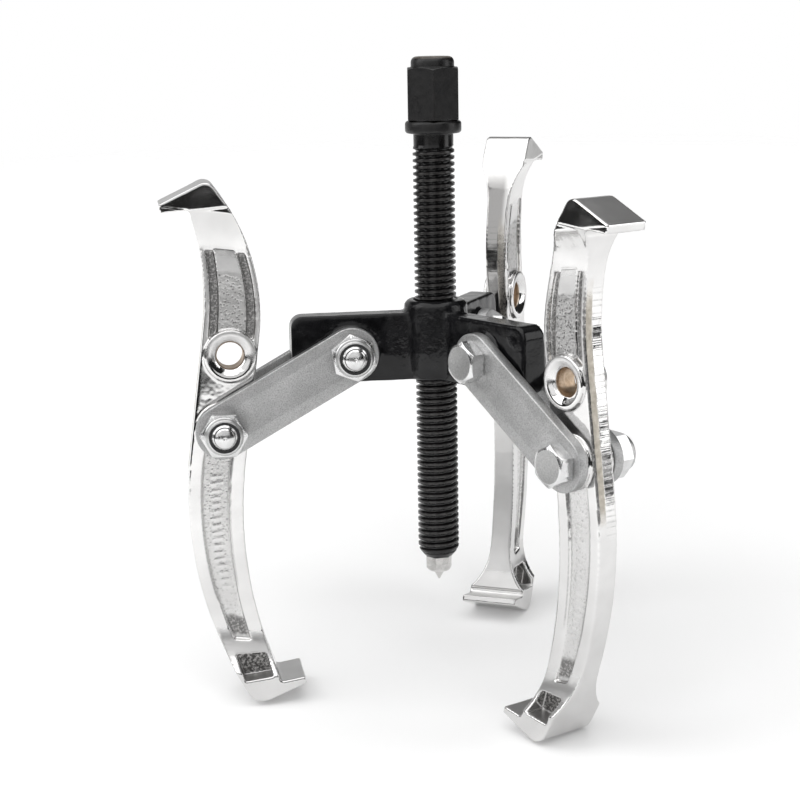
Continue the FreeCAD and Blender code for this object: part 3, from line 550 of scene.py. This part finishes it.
def thread_radius(levels, angles):
    """The screw's radius on its threaded length: a rounded ridge that climbs with the angle."""
    phase = (levels[:, None] - SCREW_END) / THREAD_PITCH - 0.5 - angles[None, :] / 360.0
    offset = np.abs(phase - np.round(phase)) * THREAD_PITCH
    rise = smooth_step(RIDGE_ROOT_HALF, RIDGE_CREST_HALF, offset)
    fade = np.clip((THREAD_TOP - levels) / THREAD_PITCH, 0, 1)[:, None]
    root = CORE_RADIUS + (SHANK_RADIUS - CORE_RADIUS) * (1 - fade)
    crest = SHANK_RADIUS + (SCREW_RADIUS - SHANK_RADIUS) * fade
    return root + (crest - root) * rise


def nose_radius(levels):
    """The rounding of the screw's end, up to its full radius."""
    share = np.clip((levels - SCREW_END) / (NOSE_LEVEL - SCREW_END), 0, 1)
    return NOSE_RIM_RADIUS + (SCREW_RADIUS - NOSE_RIM_RADIUS) * np.sin(share * math.pi / 2)


def drive_rows(angles):
    """The chamfered hexagon of the drive, and the rounded crown above it."""
    side = hexagon_radius(DRIVE_ACROSS_FLATS, angles, DRIVE_CORNER_ANGLE)
    flat = DRIVE_ACROSS_FLATS / 2
    chamfered_top = DRIVE_TOP - chamfer_depth(side, flat)
    rows = [
        (np.minimum(side, COLLAR_RADIUS - 1.3), COLLAR_TOP + 0.05),
        (side, COLLAR_TOP + 0.4),
        (side, COLLAR_TOP + 0.9),
        (side, chamfered_top - 0.6),
        (side, chamfered_top - 0.15),
        (side - 0.2, chamfered_top),
        (flat - 0.35, DRIVE_TOP),
        (CROWN_RADIUS + 0.3, DRIVE_TOP),
        (CROWN_RADIUS, DRIVE_TOP + 0.3),
    ]
    rows += arc_rows(CROWN_RADIUS - CROWN_ROUNDING, CROWN_TOP - CROWN_ROUNDING, CROWN_ROUNDING,
                     0, 90, 5)
    return rows + [(CROWN_RADIUS - 3.0, CROWN_TOP)]


def build_screw(material):
    """The screw turned in one piece, from its socket out round the nose and up to the crown."""
    angles = ring_angles(72, DRIVE_CORNER_ANGLE)
    levels = np.arange(SCREW_END, THREAD_TOP, THREAD_PITCH / 12)
    threaded = np.minimum(thread_radius(levels, angles), nose_radius(levels)[:, None])
    rows = [(SOCKET_RADIUS, SOCKET_TOP), (SOCKET_RADIUS, SCREW_END + 0.3),
            (SOCKET_RADIUS + 0.3, SCREW_END), (NOSE_RIM_RADIUS - 0.3, SCREW_END)]
    rows += list(zip(threaded, levels))
    rows += [(SHANK_RADIUS, THREAD_TOP + 0.3), (SHANK_RADIUS, COLLAR_BOTTOM - 0.4)]
    rows += arc_rows(SHANK_RADIUS + 0.4, COLLAR_BOTTOM - 0.4, 0.4, 180, 90, 2)
    rim = COLLAR_RADIUS - COLLAR_ROUNDING
    rows += arc_rows(rim, COLLAR_BOTTOM + COLLAR_ROUNDING, COLLAR_ROUNDING, -90, 0)
    rows += arc_rows(rim, COLLAR_TOP - COLLAR_ROUNDING, COLLAR_ROUNDING, 0, 90)
    rows += drive_rows(angles)
    mesh = turned_mesh("forcing_screw_turned", rows, angles, Matrix.Identity(4))
    finish_mesh(mesh, 32)
    x, y, level = arrays_of(mesh)[0].T
    crest = np.clip((np.hypot(x, y) - SCREW_RADIUS + 0.3) / 0.3, 0, 1)
    set_attribute(mesh, "crest", crest * (level < THREAD_TOP))
    set_attribute(mesh, "drive", smooth_step(COLLAR_BOTTOM - 1.0, COLLAR_BOTTOM, level))
    set_attribute(mesh, "crown", smooth_step(CROWN_TOP - 0.9, CROWN_TOP - 0.1, level))
    return add_piece("forcing_screw_turned", mesh, material, "forcing_screw", "forcing_screw")


def build_tip(material):
    """The pressure tip: its point, its bevelled hexagon block and its grooved stem."""
    angles = ring_angles(72, TIP_CORNER_ANGLE)
    side = hexagon_radius(TIP_ACROSS_FLATS, angles, TIP_CORNER_ANGLE)
    side = np.minimum(side, TIP_CORNER_RADIUS)
    bevel = np.maximum(side - TIP_BEVEL_RADIUS, 0)
    groove = STEM_RADIUS - STEM_GROOVE_DEPTH
    rows = [(0.25, 0.15), (2.2, TIP_BOTTOM - 0.2), (2.5, TIP_BOTTOM),
            (TIP_BEVEL_RADIUS, TIP_BOTTOM), (side, TIP_BOTTOM + 0.05 + bevel),
            (side, TIP_TOP - 0.3), (side - 0.3, TIP_TOP), (STEM_RADIUS, TIP_TOP),
            (STEM_RADIUS, STEM_GROOVE_BOTTOM), (groove, STEM_GROOVE_BOTTOM),
            (groove, STEM_GROOVE_TOP), (STEM_RADIUS, STEM_GROOVE_TOP),
            (STEM_RADIUS, STEM_TOP - 0.4), (STEM_RADIUS - 0.4, STEM_TOP)]
    mesh = turned_mesh("pressure_tip_block", rows, angles, Matrix.Identity(4))
    finish_mesh(mesh, 25)
    return add_piece("pressure_tip_block", mesh, material, "pressure_tip", "pressure_tip")


# ---------------------------------------------------------------- straps and fasteners


def circle(middle, radius, angles):
    """Points round a middle on the x axis, at angles in degrees."""
    return [(middle + radius * math.cos(a), radius * math.sin(a)) for a in np.radians(angles)]


def strap_mesh():
    """A flat strap with rounded edges and two holes, its middle plane at zero."""
    curve = bpy.data.curves.new("strap_outline", "CURVE")
    curve.dimensions = "2D"
    curve.fill_mode = "BOTH"
    curve.extrude = (STRAP_THICKNESS / 2 - STRAP_EDGE) * MM
    curve.bevel_depth = STRAP_EDGE * MM
    curve.bevel_resolution = 3
    curve.offset = -STRAP_EDGE * MM
    far_end = circle(STRAP_LENGTH, STRAP_HALF_WIDTH, np.linspace(-90, 90, 33))
    near_end = circle(0.0, STRAP_HALF_WIDTH, np.linspace(90, 270, 33))
    holes = [circle(middle, HOLE_RADIUS, np.arange(0, 360, 7.5)) for middle in (0.0, STRAP_LENGTH)]
    for points in (far_end + near_end, *holes):
        loop = curve.splines.new("POLY")
        loop.points.add(len(points) - 1)
        for corner, (x, y) in zip(loop.points, points):
            corner.co = (x * MM, y * MM, 0, 1)
        loop.use_cyclic_u = True
    return evaluated_mesh(bpy.data.objects.new("strap_outline", curve))


def build_strap(letter, side, material):
    mesh = strap_mesh()
    offset = (STRAP_GAP + STRAP_THICKNESS) / 2 * (1 if side == "nut_side" else -1)
    mesh.transform(across_leg(letter, 0, offset))
    work = bmesh.new()
    work.from_mesh(mesh)
    bmesh.ops.remove_doubles(work, verts=work.verts, dist=0.002 * MM)
    work.to_mesh(mesh)
    work.free()
    finish_mesh(mesh, 40)
    node = f"strap_{letter}_{side}"
    return add_piece(f"{node}_plate", mesh, material, f"links_{letter}", node)


def place_on_leg(letter, where, distance):
    """The frame of a fastener at the crosshead's pivot, called yoke, or at the jaw's."""
    return across_leg(letter, 0 if where == "yoke" else STRAP_LENGTH, distance)


def build_bolt(letter, where, turn, material):
    """A hexagon bolt with a chamfered head, a shank and a domed end."""
    seat = -STRAP_GAP / 2 - STRAP_THICKNESS
    face = seat - HEAD_HEIGHT
    angles = ring_angles(96, turn)
    side = hexagon_radius(HEAD_ACROSS_FLATS, angles, turn)
    flat = HEAD_ACROSS_FLATS / 2 - 0.6
    rows = [(flat - 0.9, face + 0.12), (flat - 0.5, face), (flat - 0.1, face + 0.02),
            (side - 0.15, face + chamfer_depth(side - 0.15, flat)),
            (side, face + 0.12 + chamfer_depth(side, flat)),
            (side, seat - 0.35), (side - 0.2, seat), (BOLT_RADIUS, seat),
            (BOLT_RADIUS, BOLT_END - 2.5), (BOLT_RADIUS - 0.9, BOLT_END - 1.75)]
    dome = np.radians(np.linspace(66, 14, 8))
    rows += [(DOME_RADIUS * math.sin(a), BOLT_END - DOME_HEIGHT * (1 - math.cos(a))) for a in dome]
    rows += [(0.7, BOLT_END - 0.03), (0.2, BOLT_END - 0.3)]
    node = f"{where}_bolt_{letter}"
    mesh = turned_mesh(f"{node}_turned", rows, angles, place_on_leg(letter, where, 0))
    finish_mesh(mesh, 28)
    satin = np.zeros(len(mesh.vertices))
    satin[:2 * len(angles)] = 1
    satin[-2:] = (1, 0.5)
    set_attribute(mesh, "satin", satin)
    return add_piece(f"{node}_turned", mesh, material, f"links_{letter}", node)


def build_nut(letter, where, turn, material):
    """A lock nut: chamfered hexagon, crimped collar and the groove that holds its insert."""
    angles = ring_angles(96, turn)
    side = hexagon_radius(NUT_ACROSS_FLATS, angles, turn)
    flat = NUT_ACROSS_FLATS / 2 - 0.3
    top = NUT_HEX_HEIGHT
    rows = [(NUT_BORE_RADIUS, 0.5), (NUT_BORE_RADIUS + 0.48, 0.0), (flat - 0.2, 0.0),
            (side - 0.15, chamfer_depth(side - 0.15, flat)),
            (side, 0.15 + chamfer_depth(side, flat)),
            (side, top - 0.15 - chamfer_depth(side, flat)),
            (side - 0.15, top - chamfer_depth(side - 0.15, flat)),
            (flat - 0.1, top), (7.35, top), (7.0, top + 0.35)]
    collar_starts = len(rows) - 1
    rows += arc_rows(NUT_MOUTH_RADIUS, NUT_HEIGHT - 1.05, 1.05, 0, 90, 5)
    collar_ends = len(rows) - 1
    rows += [(NUT_MOUTH_RADIUS - 0.1, NUT_HEIGHT - 0.15), (NUT_MOUTH_RADIUS, NUT_HEIGHT - 0.4),
             (INSERT_GROOVE_RADIUS, NUT_HEIGHT - 0.4), (INSERT_GROOVE_RADIUS, NUT_HEIGHT - 2.3),
             (NUT_BORE_RADIUS, NUT_HEIGHT - 2.3)]
    node = f"{where}_nut_{letter}"
    place = place_on_leg(letter, where, STRAP_GAP / 2 + STRAP_THICKNESS)
    mesh = turned_mesh(f"{node}_turned", rows, angles, place, closed=True)
    finish_mesh(mesh, 28)
    satin = np.zeros(len(mesh.vertices))
    satin[collar_starts * len(angles):collar_ends * len(angles)] = 0.8
    set_attribute(mesh, "satin", satin)
    return add_piece(f"{node}_turned", mesh, material, f"links_{letter}", node)


# ---------------------------------------------------------------- forgings


def forged_mesh(name, source, place, voxel, rounds):
    """A dense, evenly smoothed copy of a mesh, moved into its own frame."""
    mesh = source.copy()
    mesh.transform(place.inverted())
    holder = bpy.data.objects.new(name, mesh)
    remesh = holder.modifiers.new("voxels", "REMESH")
    remesh.mode = "VOXEL"
    remesh.voxel_size = voxel * MM
    add_smoothing(holder, rounds)
    dense = evaluated_mesh(holder)
    dense.name = name
    return dense


def add_smoothing(holder, rounds):
    smooth = holder.modifiers.new("smooth", "SMOOTH")
    smooth.factor = 0.5
    smooth.iterations = rounds
    return smooth


def noise_at(points, size, seed):
    """Smooth noise from -1 to 1, with features of a given size in millimetres."""
    shift = Vector((seed * 17.3, seed * 5.7, seed * 11.1))
    return np.array([noise.noise(Vector(point) / size + shift) for point in points])


def stripes(place, pitch, low, high):
    """Soft stripes across a place, one for each pitch; low and high set how wide they are."""
    return smooth_step(low, high, 0.5 + 0.5 * np.cos(place * 2 * math.pi / pitch))


def arc_drop(radius, run):
    """How far an arc has left the line that it starts along, after a run on that line."""
    return radius - np.sqrt(radius ** 2 - run ** 2)


class JawSkin:
    """The points and normals of a jaw in its own frame, and where each point lies on it.

    The across values are a view of the points, so they follow when the points are moved.
    """

    def __init__(self, mesh, seed):
        self.seed = seed
        self.points, self.normals = arrays_of(mesh)
        self.outward, self.across, self.level = self.points.T
        self.upper = self.level > UPPER_LIMB_ABOVE
        rise = np.clip(self.level - UPPER_START, 0, 70)
        drop = np.clip(LOWER_START - self.level, 0, 100)
        self.outer = LIMB_OUTER + np.where(self.upper, arc_drop(UPPER_OUTER_RADIUS, rise),
                                           -arc_drop(LOWER_OUTER_RADIUS, drop))
        self.inner = LIMB_INNER + np.where(self.upper, arc_drop(UPPER_INNER_RADIUS, rise),
                                           -arc_drop(LOWER_INNER_RADIUS, drop))
        self.depth = FLANGE_HALF - np.abs(self.across)
        self.sideways = np.abs(self.normals[:, 1])
        self.on_side = smooth_step(0.55, 0.85, self.sideways)
        facing = (1 - smooth_step(0.18, 0.4, self.sideways)) * np.sign(self.normals[:, 0])
        self.facing_out = np.clip(facing, 0, 1) * (self.level < 84)
        self.facing_in = np.clip(-facing, 0, 1)
        self.ragged = self.noise(3.2, 0, (1, 0.4, 1))
        self.fine = self.noise(1.3, 11)

    def noise(self, size, pattern, stretch=(1, 1, 1)):
        """Noise that differs from jaw to jaw, and from pattern to pattern."""
        return noise_at(self.points * np.array(stretch), size, self.seed + pattern)

    def flare_hook(self):
        """Leans the sides out under the hook, up to its sloping shoulder line."""
        root_line = HOOK_ROOT_LEVEL - HOOK_SLOPE * (self.outward - HOOK_ROOT_OUT)
        below_shoulder = np.maximum(0, HOOK_SHOULDER - self.level)
        below_root = np.maximum(0, root_line - self.level)
        lean = np.maximum(HOOK_FLARE * (below_shoulder - below_root), -0.35)
        share = smooth_step(70, 81, self.level) * smooth_step(0.15, 0.5, self.sideways)
        self.points[:, 1] += lean * share * np.sign(self.across)

    def fill_panel(self):
        """Raises the top of the upper panel, so that it runs out flush with the flanges."""
        low, high = FILLED_SPAN
        filled = (self.depth > -0.1) & (self.depth < 0.95) & (self.level > low) & (self.level < high)
        filled &= (self.outward > self.inner + 4.6) & (self.outward < self.outer - 1.7)
        half = FLANGE_HALF - 0.6 * np.clip((68.5 - self.level) / 14.5, 0, 1)
        raised = np.sign(self.across) * np.maximum(np.abs(self.across), half)
        self.points[:, 1] = np.where(filled, raised, self.across)

    def find_recesses(self):
        """How far each point lies in the web, the pitted panel, its grooves or the foot's pocket."""
        sunk = smooth_step(0.35, 0.8, self.depth)
        self.web = window(self.level, *WEB_SPAN, 2.0) * (~self.upper) * sunk * self.on_side
        self.web_end = window(self.level + 2 * self.ragged, *WEB_END_SPAN, 3.0) * self.web
        panel = window(self.depth, 0.35, 0.95, 0.2) * self.on_side * self.upper
        self.pitted = panel * window(self.level + 2.5 * self.ragged, *PITTED_SPAN, 2.5)
        deep = smooth_step(1.05, 1.45, self.depth) * self.upper
        self.groove = deep * window(self.level + 3 * self.ragged, *GROOVE_SPAN, 4.0)
        in_foot = window(self.level, *POCKET_SPAN, 1.2) * window(self.outward, -30, -14, 1.0)
        self.pocket = in_foot * smooth_step(0.25, 0.7, self.depth) * self.on_side


def rib_share(jaw):
    """Short plain ribs across the lower web, each of its own length."""
    from_middle = jaw.outward - (jaw.outer + jaw.inner) / 2
    stride = jaw.level + 0.25 * from_middle + 0.5 * jaw.noise(5.0, 3, (0, 0, 1))
    lengths = 1.7 + 0.8 * jaw.noise(2.6, 4, (0, 0, 1))
    ends = 1 - smooth_step(lengths, lengths + 0.6, np.abs(from_middle))
    ribs = stripes(stride, RIB_PITCH, 0.35, 0.85) * ends
    return ribs * window(jaw.level, *RIB_SPAN, 1.5) * jaw.web


def trim_mark_share(jaw):
    """The marks left by the trimming press, beside the flash."""
    cuts = jaw.level + 0.9 * jaw.noise(3.0, 5, (0, 0.05, 1))
    strength = 0.65 + 0.35 * jaw.noise(2.0, 6, (0, 1, 1))
    beside = smooth_step(-1.0, -0.5, jaw.across + 0.4 * jaw.ragged)
    on_edge = (jaw.facing_out + 0.5 * jaw.facing_in) * window(jaw.level, *TRIM_MARK_SPAN, 6.0)
    return stripes(cuts, TRIM_MARK_PITCH, 0.80, 0.97) * strength * beside * on_edge


def painted_shade_and_trim_line_share(jaw, trimmed):
    """Painted shade in the recesses (the pocket, the web's end and walls, and the grooves), and darker along the
    trim line.
    """
    inner_wall = window(jaw.outward - jaw.inner, 5.2, 6.1, 0.35)
    inner_wall = inner_wall * window(jaw.level, *INNER_WALL_SPAN, 5.0)
    outer_wall = window(jaw.outer - jaw.outward, 4.8, 5.6, 0.35)
    outer_wall = outer_wall * window(jaw.level, *OUTER_WALL_SPAN, 5.0)
    walls = np.maximum(inner_wall, outer_wall) * (~jaw.upper) * jaw.on_side
    line = window(jaw.across, -4.6, -4.1, 0.25) * trimmed * (jaw.normals[:, 0] > 0.3)
    return np.max([jaw.pocket, 0.8 * jaw.web_end, 0.85 * jaw.groove * jaw.on_side,
                   0.42 * walls, 0.8 * line], axis=0)


def satin_share(jaw):
    """Where the plate is less bright: hook tops, feet, web, flanks and the lower inner edge."""
    on_ends = (jaw.level > HOOK_ABOVE) | (jaw.level < FOOT_BELOW)
    on_top = smooth_step(0.45, 0.75, jaw.normals[:, 2]) * on_ends
    along_flanks = window(jaw.level, -88, -80, 3.0) + window(jaw.level, 34, 64, 10.0)
    inner_face = smooth_step(0.5, 0.9, -jaw.normals[:, 0]) * window(jaw.level, -86, 6, 4.0)
    return np.max([on_top, 0.6 * jaw.web, 0.9 * along_flanks * jaw.on_side, inner_face], axis=0)


def finish_jaw(mesh, seed):
    """Forging detail on a jaw: ribbed web, pitted panel, ragged flash, trim marks and grooves, with painted shade
    in the recesses and a painted dark reflection on the upper inner face.
    """
    jaw = JawSkin(mesh, seed)
    jaw.flare_hook()
    jaw.fill_panel()
    jaw.find_recesses()
    ribs = rib_share(jaw)
    ticks = trim_mark_share(jaw)
    trimmed = window(jaw.level + 3 * jaw.ragged, *FLASH_SPAN, 12.0)
    on_flash = window(jaw.across + 0.45 * jaw.ragged, -3.7, -1.0, 0.3) * trimmed
    flash = np.clip(on_flash * (jaw.facing_out + 0.6 * jaw.facing_in), 0, 1)

    rough_cast = jaw.on_side * np.max([jaw.groove, jaw.pocket, jaw.web_end], axis=0)
    recess = np.max([jaw.web, jaw.groove, jaw.pitted, jaw.pocket], axis=0)
    height = 0.09 * ribs + 0.05 * flash - 0.035 * ticks
    height += (0.06 * jaw.pitted + 0.08 * rough_cast) * jaw.fine
    height += 0.06 * jaw.noise(8.0, 9) * (1 - recess)

    grain = np.maximum(0.32 * jaw.web, jaw.pitted) * (1 - 0.5 * ribs)
    from_hole = np.hypot(jaw.outward, jaw.level - HOLE_SPACING)
    bare = (1 - smooth_step(5.15, 5.5, from_hole)) * (1 - smooth_step(0.3, 0.6, jaw.sideways))
    # A painted dark reflection on the upper limb's inner face, where it faces the screw.
    painted_dark_reflection = window(jaw.level, *PAINTED_DARK_REFLECTION_SPAN, 9.0) * window(jaw.across, -1.5, 4.8, 2.5)
    set_attribute(mesh, "grain", grain)
    set_attribute(mesh, "flash", flash)
    # Painted shade in the recesses, with the trim marks darkened too.
    set_attribute(mesh, "painted_shade_and_trim_marks", np.clip(painted_shade_and_trim_line_share(jaw, trimmed) + 0.4 * ticks, 0, 1))
    set_attribute(mesh, "bare", bare)
    set_attribute(mesh, "satin", satin_share(jaw))
    set_attribute(mesh, "painted_dark_reflection", 0.8 * jaw.facing_in * painted_dark_reflection)
    moved = jaw.points + jaw.normals * height[:, None]
    mesh.vertices.foreach_set("co", (moved * MM).ravel())
    mesh.update()


def build_jaw(letter, material):
    node = f"jaw_{letter}"
    place = jaw_frame(letter)
    mesh = forged_mesh(f"{node}_forging", frame["nodes"][node].data, place, 0.42, 6)
    finish_jaw(mesh, LETTERS.index(letter) + 1)
    mesh.transform(place)
    mesh.shade_smooth()
    return add_piece(f"{node}_forging", mesh, material, node, node)


def drafted(points):
    """The crosshead's points with a forging's draft above and below its parting level."""
    x, y, level = points.T
    radius = np.hypot(x, y)
    azimuth = np.degrees(np.arctan2(y, x))
    from_arm = (azimuth - 180 + 60) % 120 - 60
    along = radius * np.cos(np.radians(from_arm))
    across = radius * np.sin(np.radians(from_arm))
    away = level - PARTING_LEVEL - 0.8 * np.sin(along * 0.31) - 0.5 * np.sin(along * 0.83)
    drop = np.where(away > 0, away * math.tan(UPPER_DRAFT), -away * math.tan(LOWER_DRAFT))
    half = PARTING_HALF - drop
    past_hub = smooth_step(HUB_END, ARM_START, along)
    on_arm = past_hub * (np.abs(across) < ARM_HALF + 0.12)
    across = across * (1 + on_arm * (half / ARM_HALF - 1))
    swell = 1 + (1 - past_hub) * (0.6 - 0.7 * drop) / HUB_RADIUS
    turn = np.radians(azimuth - from_arm)
    return np.stack([(along * np.cos(turn) - across * np.sin(turn)) * swell,
                     (along * np.sin(turn) + across * np.cos(turn)) * swell, level], axis=1)


def filled_crosshead(bottom, top):
    """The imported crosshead's mesh, with a plug that closes its tapped bore."""
    plug = turned_mesh("hub_plug", [(9.0, bottom + 0.02), (9.0, top - 0.02)], ring_angles(96, 0),
                       Matrix.Identity(4))
    work = bmesh.new()
    work.from_mesh(frame["nodes"]["crosshead"].data)
    work.from_mesh(plug)
    joined = bpy.data.meshes.new("crosshead_filled")
    work.to_mesh(joined)
    work.free()
    return joined


def build_crosshead(material):
    """The crosshead with its hub filled, smoothed as a forging and then bored again."""
    low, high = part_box("crosshead")
    bottom, top = low.z / MM, high.z / MM
    mesh = forged_mesh("crosshead_forging", filled_crosshead(bottom, top), Matrix.Identity(4),
                       0.6, 9)
    x, y, level = arrays_of(mesh)[0].T
    corner = window(np.hypot(x, y), 12.0, 16.5, 2.0) * window(level, 84, 104, 3.0)
    mesh = rounded_corners(mesh, corner, 70)
    points, normals = arrays_of(mesh)
    x, y, level = points.T
    peel = window(np.hypot(x, y), 10.5, 19.0, 3.0) * window(level, 92, 108, 4.0)
    height = noise_at(points, 6.0, 21) * 0.10 + noise_at(points, 1.7, 22) * 0.09 * peel
    points = drafted(points + normals * height[:, None])
    mesh.vertices.foreach_set("co", (points * MM).ravel())
    set_attribute(mesh, "peel", peel)
    mesh.update()
    mesh.shade_smooth()
    piece = add_piece("crosshead_forging", mesh, material, "crosshead", "crosshead")
    cut_bore(piece, bottom, top)
    return piece


def rounded_corners(mesh, weights, rounds):
    """The mesh smoothed strongly where the weights are high."""
    holder = bpy.data.objects.new("corners", mesh)
    group = holder.vertex_groups.new(name="corners")
    for index in np.nonzero(weights > 0.01)[0]:
        group.add([int(index)], float(weights[index]), "REPLACE")
    add_smoothing(holder, rounds).vertex_group = "corners"
    return evaluated_mesh(holder)


def cut_bore(piece, bottom, top):
    """Bores the hub again, with a chamfer at each mouth."""
    rows = [(10.0, bottom - 1.5), (BORE_RADIUS, bottom + 0.6), (BORE_RADIUS, top - 0.6),
            (10.0, top + 1.5)]
    mesh = turned_mesh("bore_cutter", rows, ring_angles(96, 0), Matrix.Identity(4))
    finish_mesh(mesh, 30)
    cutter = bpy.data.objects.new("bore_cutter", mesh)
    bpy.context.scene.collection.objects.link(cutter)
    boolean = piece.modifiers.new("bore", "BOOLEAN")
    boolean.operation = "DIFFERENCE"
    boolean.solver = "EXACT"
    boolean.object = cutter
    graph = bpy.context.evaluated_depsgraph_get()
    bored = bpy.data.meshes.new_from_object(piece.evaluated_get(graph))
    piece.modifiers.clear()
    piece.data = bored
    bpy.data.objects.remove(cutter)


# ---------------------------------------------------------------- studio


CAMERA_PLACE = Vector((-0.1204, -0.7405, 0.2202))
CAMERA_HEADING = 8.14
CAMERA_PITCH = -11.15
CAMERA_ROLL = 0.98
CAMERA_LENS = 88.4
FLOOR_SOLID = 1.15
FLOOR_RADIUS = 1.35
ROOM_GLOW = 0.02
BACKDROP_GLOW = 0.64
CEILING_GLOW = 0.35
BACKGROUND_GLOW = 1.0

# Each soft box's name, place and target, its width and height, and its power in watts.
SOFT_BOXES = (
    ("top", (-0.35, -0.35, 1.35), (-0.35, -0.35, 0.0), (2.0, 2.0), 19),
    ("left", (-0.95, -0.05, 0.62), (0, 0, 0.1), (0.7, 0.8), 4.0),
    ("right", (1.0, -0.3, 0.42), (0, 0, 0.1), (0.5, 0.8), 2.6),
    ("front", (-0.1, -1.0, 0.66), (0, 0, 0.08), (1.3, 1.2), 4.2),
    ("corner", (-0.85, -0.72, 0.48), (0, 0, 0.08), (0.55, 0.8), 1.5),
)


def add_camera():
    data = bpy.data.cameras.new("camera")
    data.lens = CAMERA_LENS
    data.sensor_width = 36.0
    data.clip_start = 0.01
    camera = bpy.data.objects.new("camera", data)
    bpy.context.scene.collection.objects.link(camera)
    turn = (
        Matrix.Rotation(math.radians(-CAMERA_HEADING), 4, "Z")
        @ Matrix.Rotation(math.radians(90 + CAMERA_PITCH), 4, "X")
        @ Matrix.Rotation(math.radians(-CAMERA_ROLL), 4, "Z")
    )
    camera.matrix_world = Matrix.Translation(CAMERA_PLACE) @ turn
    bpy.context.scene.camera = camera


def lowest_point(mesh, direction):
    """The point of a mesh that lies furthest against a direction."""
    points = arrays_of(mesh)[0] * MM
    return Vector(points[np.argmin(points @ np.array(direction))])


def floor_plane(jaws):
    """The plane on which the three feet stand: a point and the upward normal."""
    normal = UP
    for _ in range(3):
        first, second, third = (lowest_point(jaw.data, normal) for jaw in jaws)
        normal = (second - first).cross(third - first).normalized()
        normal = normal if normal.z > 0 else -normal
    return (first + second + third) / 3, normal


def add_floor(jaws):
    """A round pale table on which the feet stand. Its rim fades out."""
    point, normal = floor_plane(jaws)
    skin = Surface("floor_pale", Roughness=0.8, Specular_IOR_Level=0.1, Emission_Color=(1, 1, 1, 1))
    skin.link(skin.ramp(skin.noise(6, 2.0), 0.3, 0.7, (0.86, 0.86, 0.86), (0.88, 0.88, 0.88)),
              "Base Color")
    skin.link(skin.ramp(skin.attribute("reach"), FLOOR_SOLID, FLOOR_RADIUS, 1.0, 0.0), "Alpha")
    skin.link(skin.ramp(skin.attribute("reach"), 0.1, 1.1, 0.10, 0.62), "Emission Strength")
    work = bmesh.new()
    bmesh.ops.create_grid(work, x_segments=120, y_segments=120, size=FLOOR_RADIUS)
    mesh = bpy.data.meshes.new("floor")
    work.to_mesh(mesh)
    work.free()
    set_attribute(mesh, "reach", [vertex.co.length for vertex in mesh.vertices])
    mesh.materials.append(skin.material)
    floor = bpy.data.objects.new("floor", mesh)
    bpy.context.scene.collection.objects.link(floor)
    under = Vector((0, 0, point.dot(normal) / normal.z))
    tilt = UP.rotation_difference(normal).to_matrix().to_4x4()
    floor.matrix_world = Matrix.Translation(under) @ tilt


def add_area_light(name, place, target, size, power):
    data = bpy.data.lights.new(name, "AREA")
    data.shape = "RECTANGLE"
    data.size, data.size_y = size
    data.energy = power
    light = bpy.data.objects.new(name, data)
    bpy.context.scene.collection.objects.link(light)
    light.location = place
    light.rotation_euler = (Vector(target) - Vector(place)).to_track_quat("-Z", "Y").to_euler()
    light.visible_camera = False


def add_studio():
    """A dark room with a pale backdrop, seen only in reflections, and five soft boxes."""
    world = bpy.data.worlds.new("studio")
    bpy.context.scene.world = world
    world.use_nodes = True
    room = Graph(world.node_tree)
    place = room.nodes.new("ShaderNodeTexCoord")
    direction = room.nodes.new("ShaderNodeSeparateXYZ")
    room.feed(direction.inputs["Vector"], place.outputs["Generated"])
    x, y, z = direction.outputs
    behind = room.ramp(y, 0.35, 0.75, 0.0, 1.0, "SMOOTHSTEP")
    strip = room.ramp(z, 0.01, 0.10, 1.0, 0.0, "SMOOTHSTEP")
    lower = room.ramp(z, 0.38, 0.54, 1.0, 0.0, "SMOOTHSTEP")
    leftward = room.ramp(x, 0.30, 0.45, 1.0, 0.0, "SMOOTHSTEP")
    shape = room.highest(strip, room.times(lower, leftward))
    backdrop = room.times(room.times(behind, shape), BACKDROP_GLOW)
    ceiling = room.ramp(z, 0.62, 0.95, 0.0, CEILING_GLOW, "SMOOTHSTEP")
    glow = room.combine("ADD", room.combine("ADD", backdrop, ceiling), ROOM_GLOW)
    seen = room.nodes.new("ShaderNodeLightPath").outputs["Is Camera Ray"]
    room.feed(room.nodes["Background"].inputs["Color"],
              room.blend_number(seen, glow, BACKGROUND_GLOW))
    for name, spot, target, size, power in SOFT_BOXES:
        add_area_light(name, spot, target, size, power)
    bpy.context.scene.view_settings.view_transform = "Standard"


# ---------------------------------------------------------------- assembly


def dress(node, material):
    """Gives a material to a node of the frame that stays in sight."""
    for slot in frame["nodes"][node].material_slots:
        slot.material = material


def build_all():
    chrome = chrome_material()
    fastener = bright_zinc_material()
    strap = zinc_plate_material()
    steel = turned_steel_material()
    nylon = nylon_material()
    build_screw(black_oxide_material())
    build_tip(steel)
    build_crosshead(black_gloss_material())
    dress("tip_retaining_ring", steel)
    jaws = []
    for letter in LETTERS:
        jaws.append(build_jaw(letter, chrome))
        for side in ("nut_side", "head_side"):
            build_strap(letter, side, strap)
        for where in ("yoke", "jaw"):
            build_bolt(letter, where, 0, fastener)
            build_nut(letter, where, 10 if where == "yoke" else 30, fastener)
            dress(f"{where}_nut_insert_{letter}", nylon)
    add_floor(jaws)


add_camera()
add_studio()
build_all()
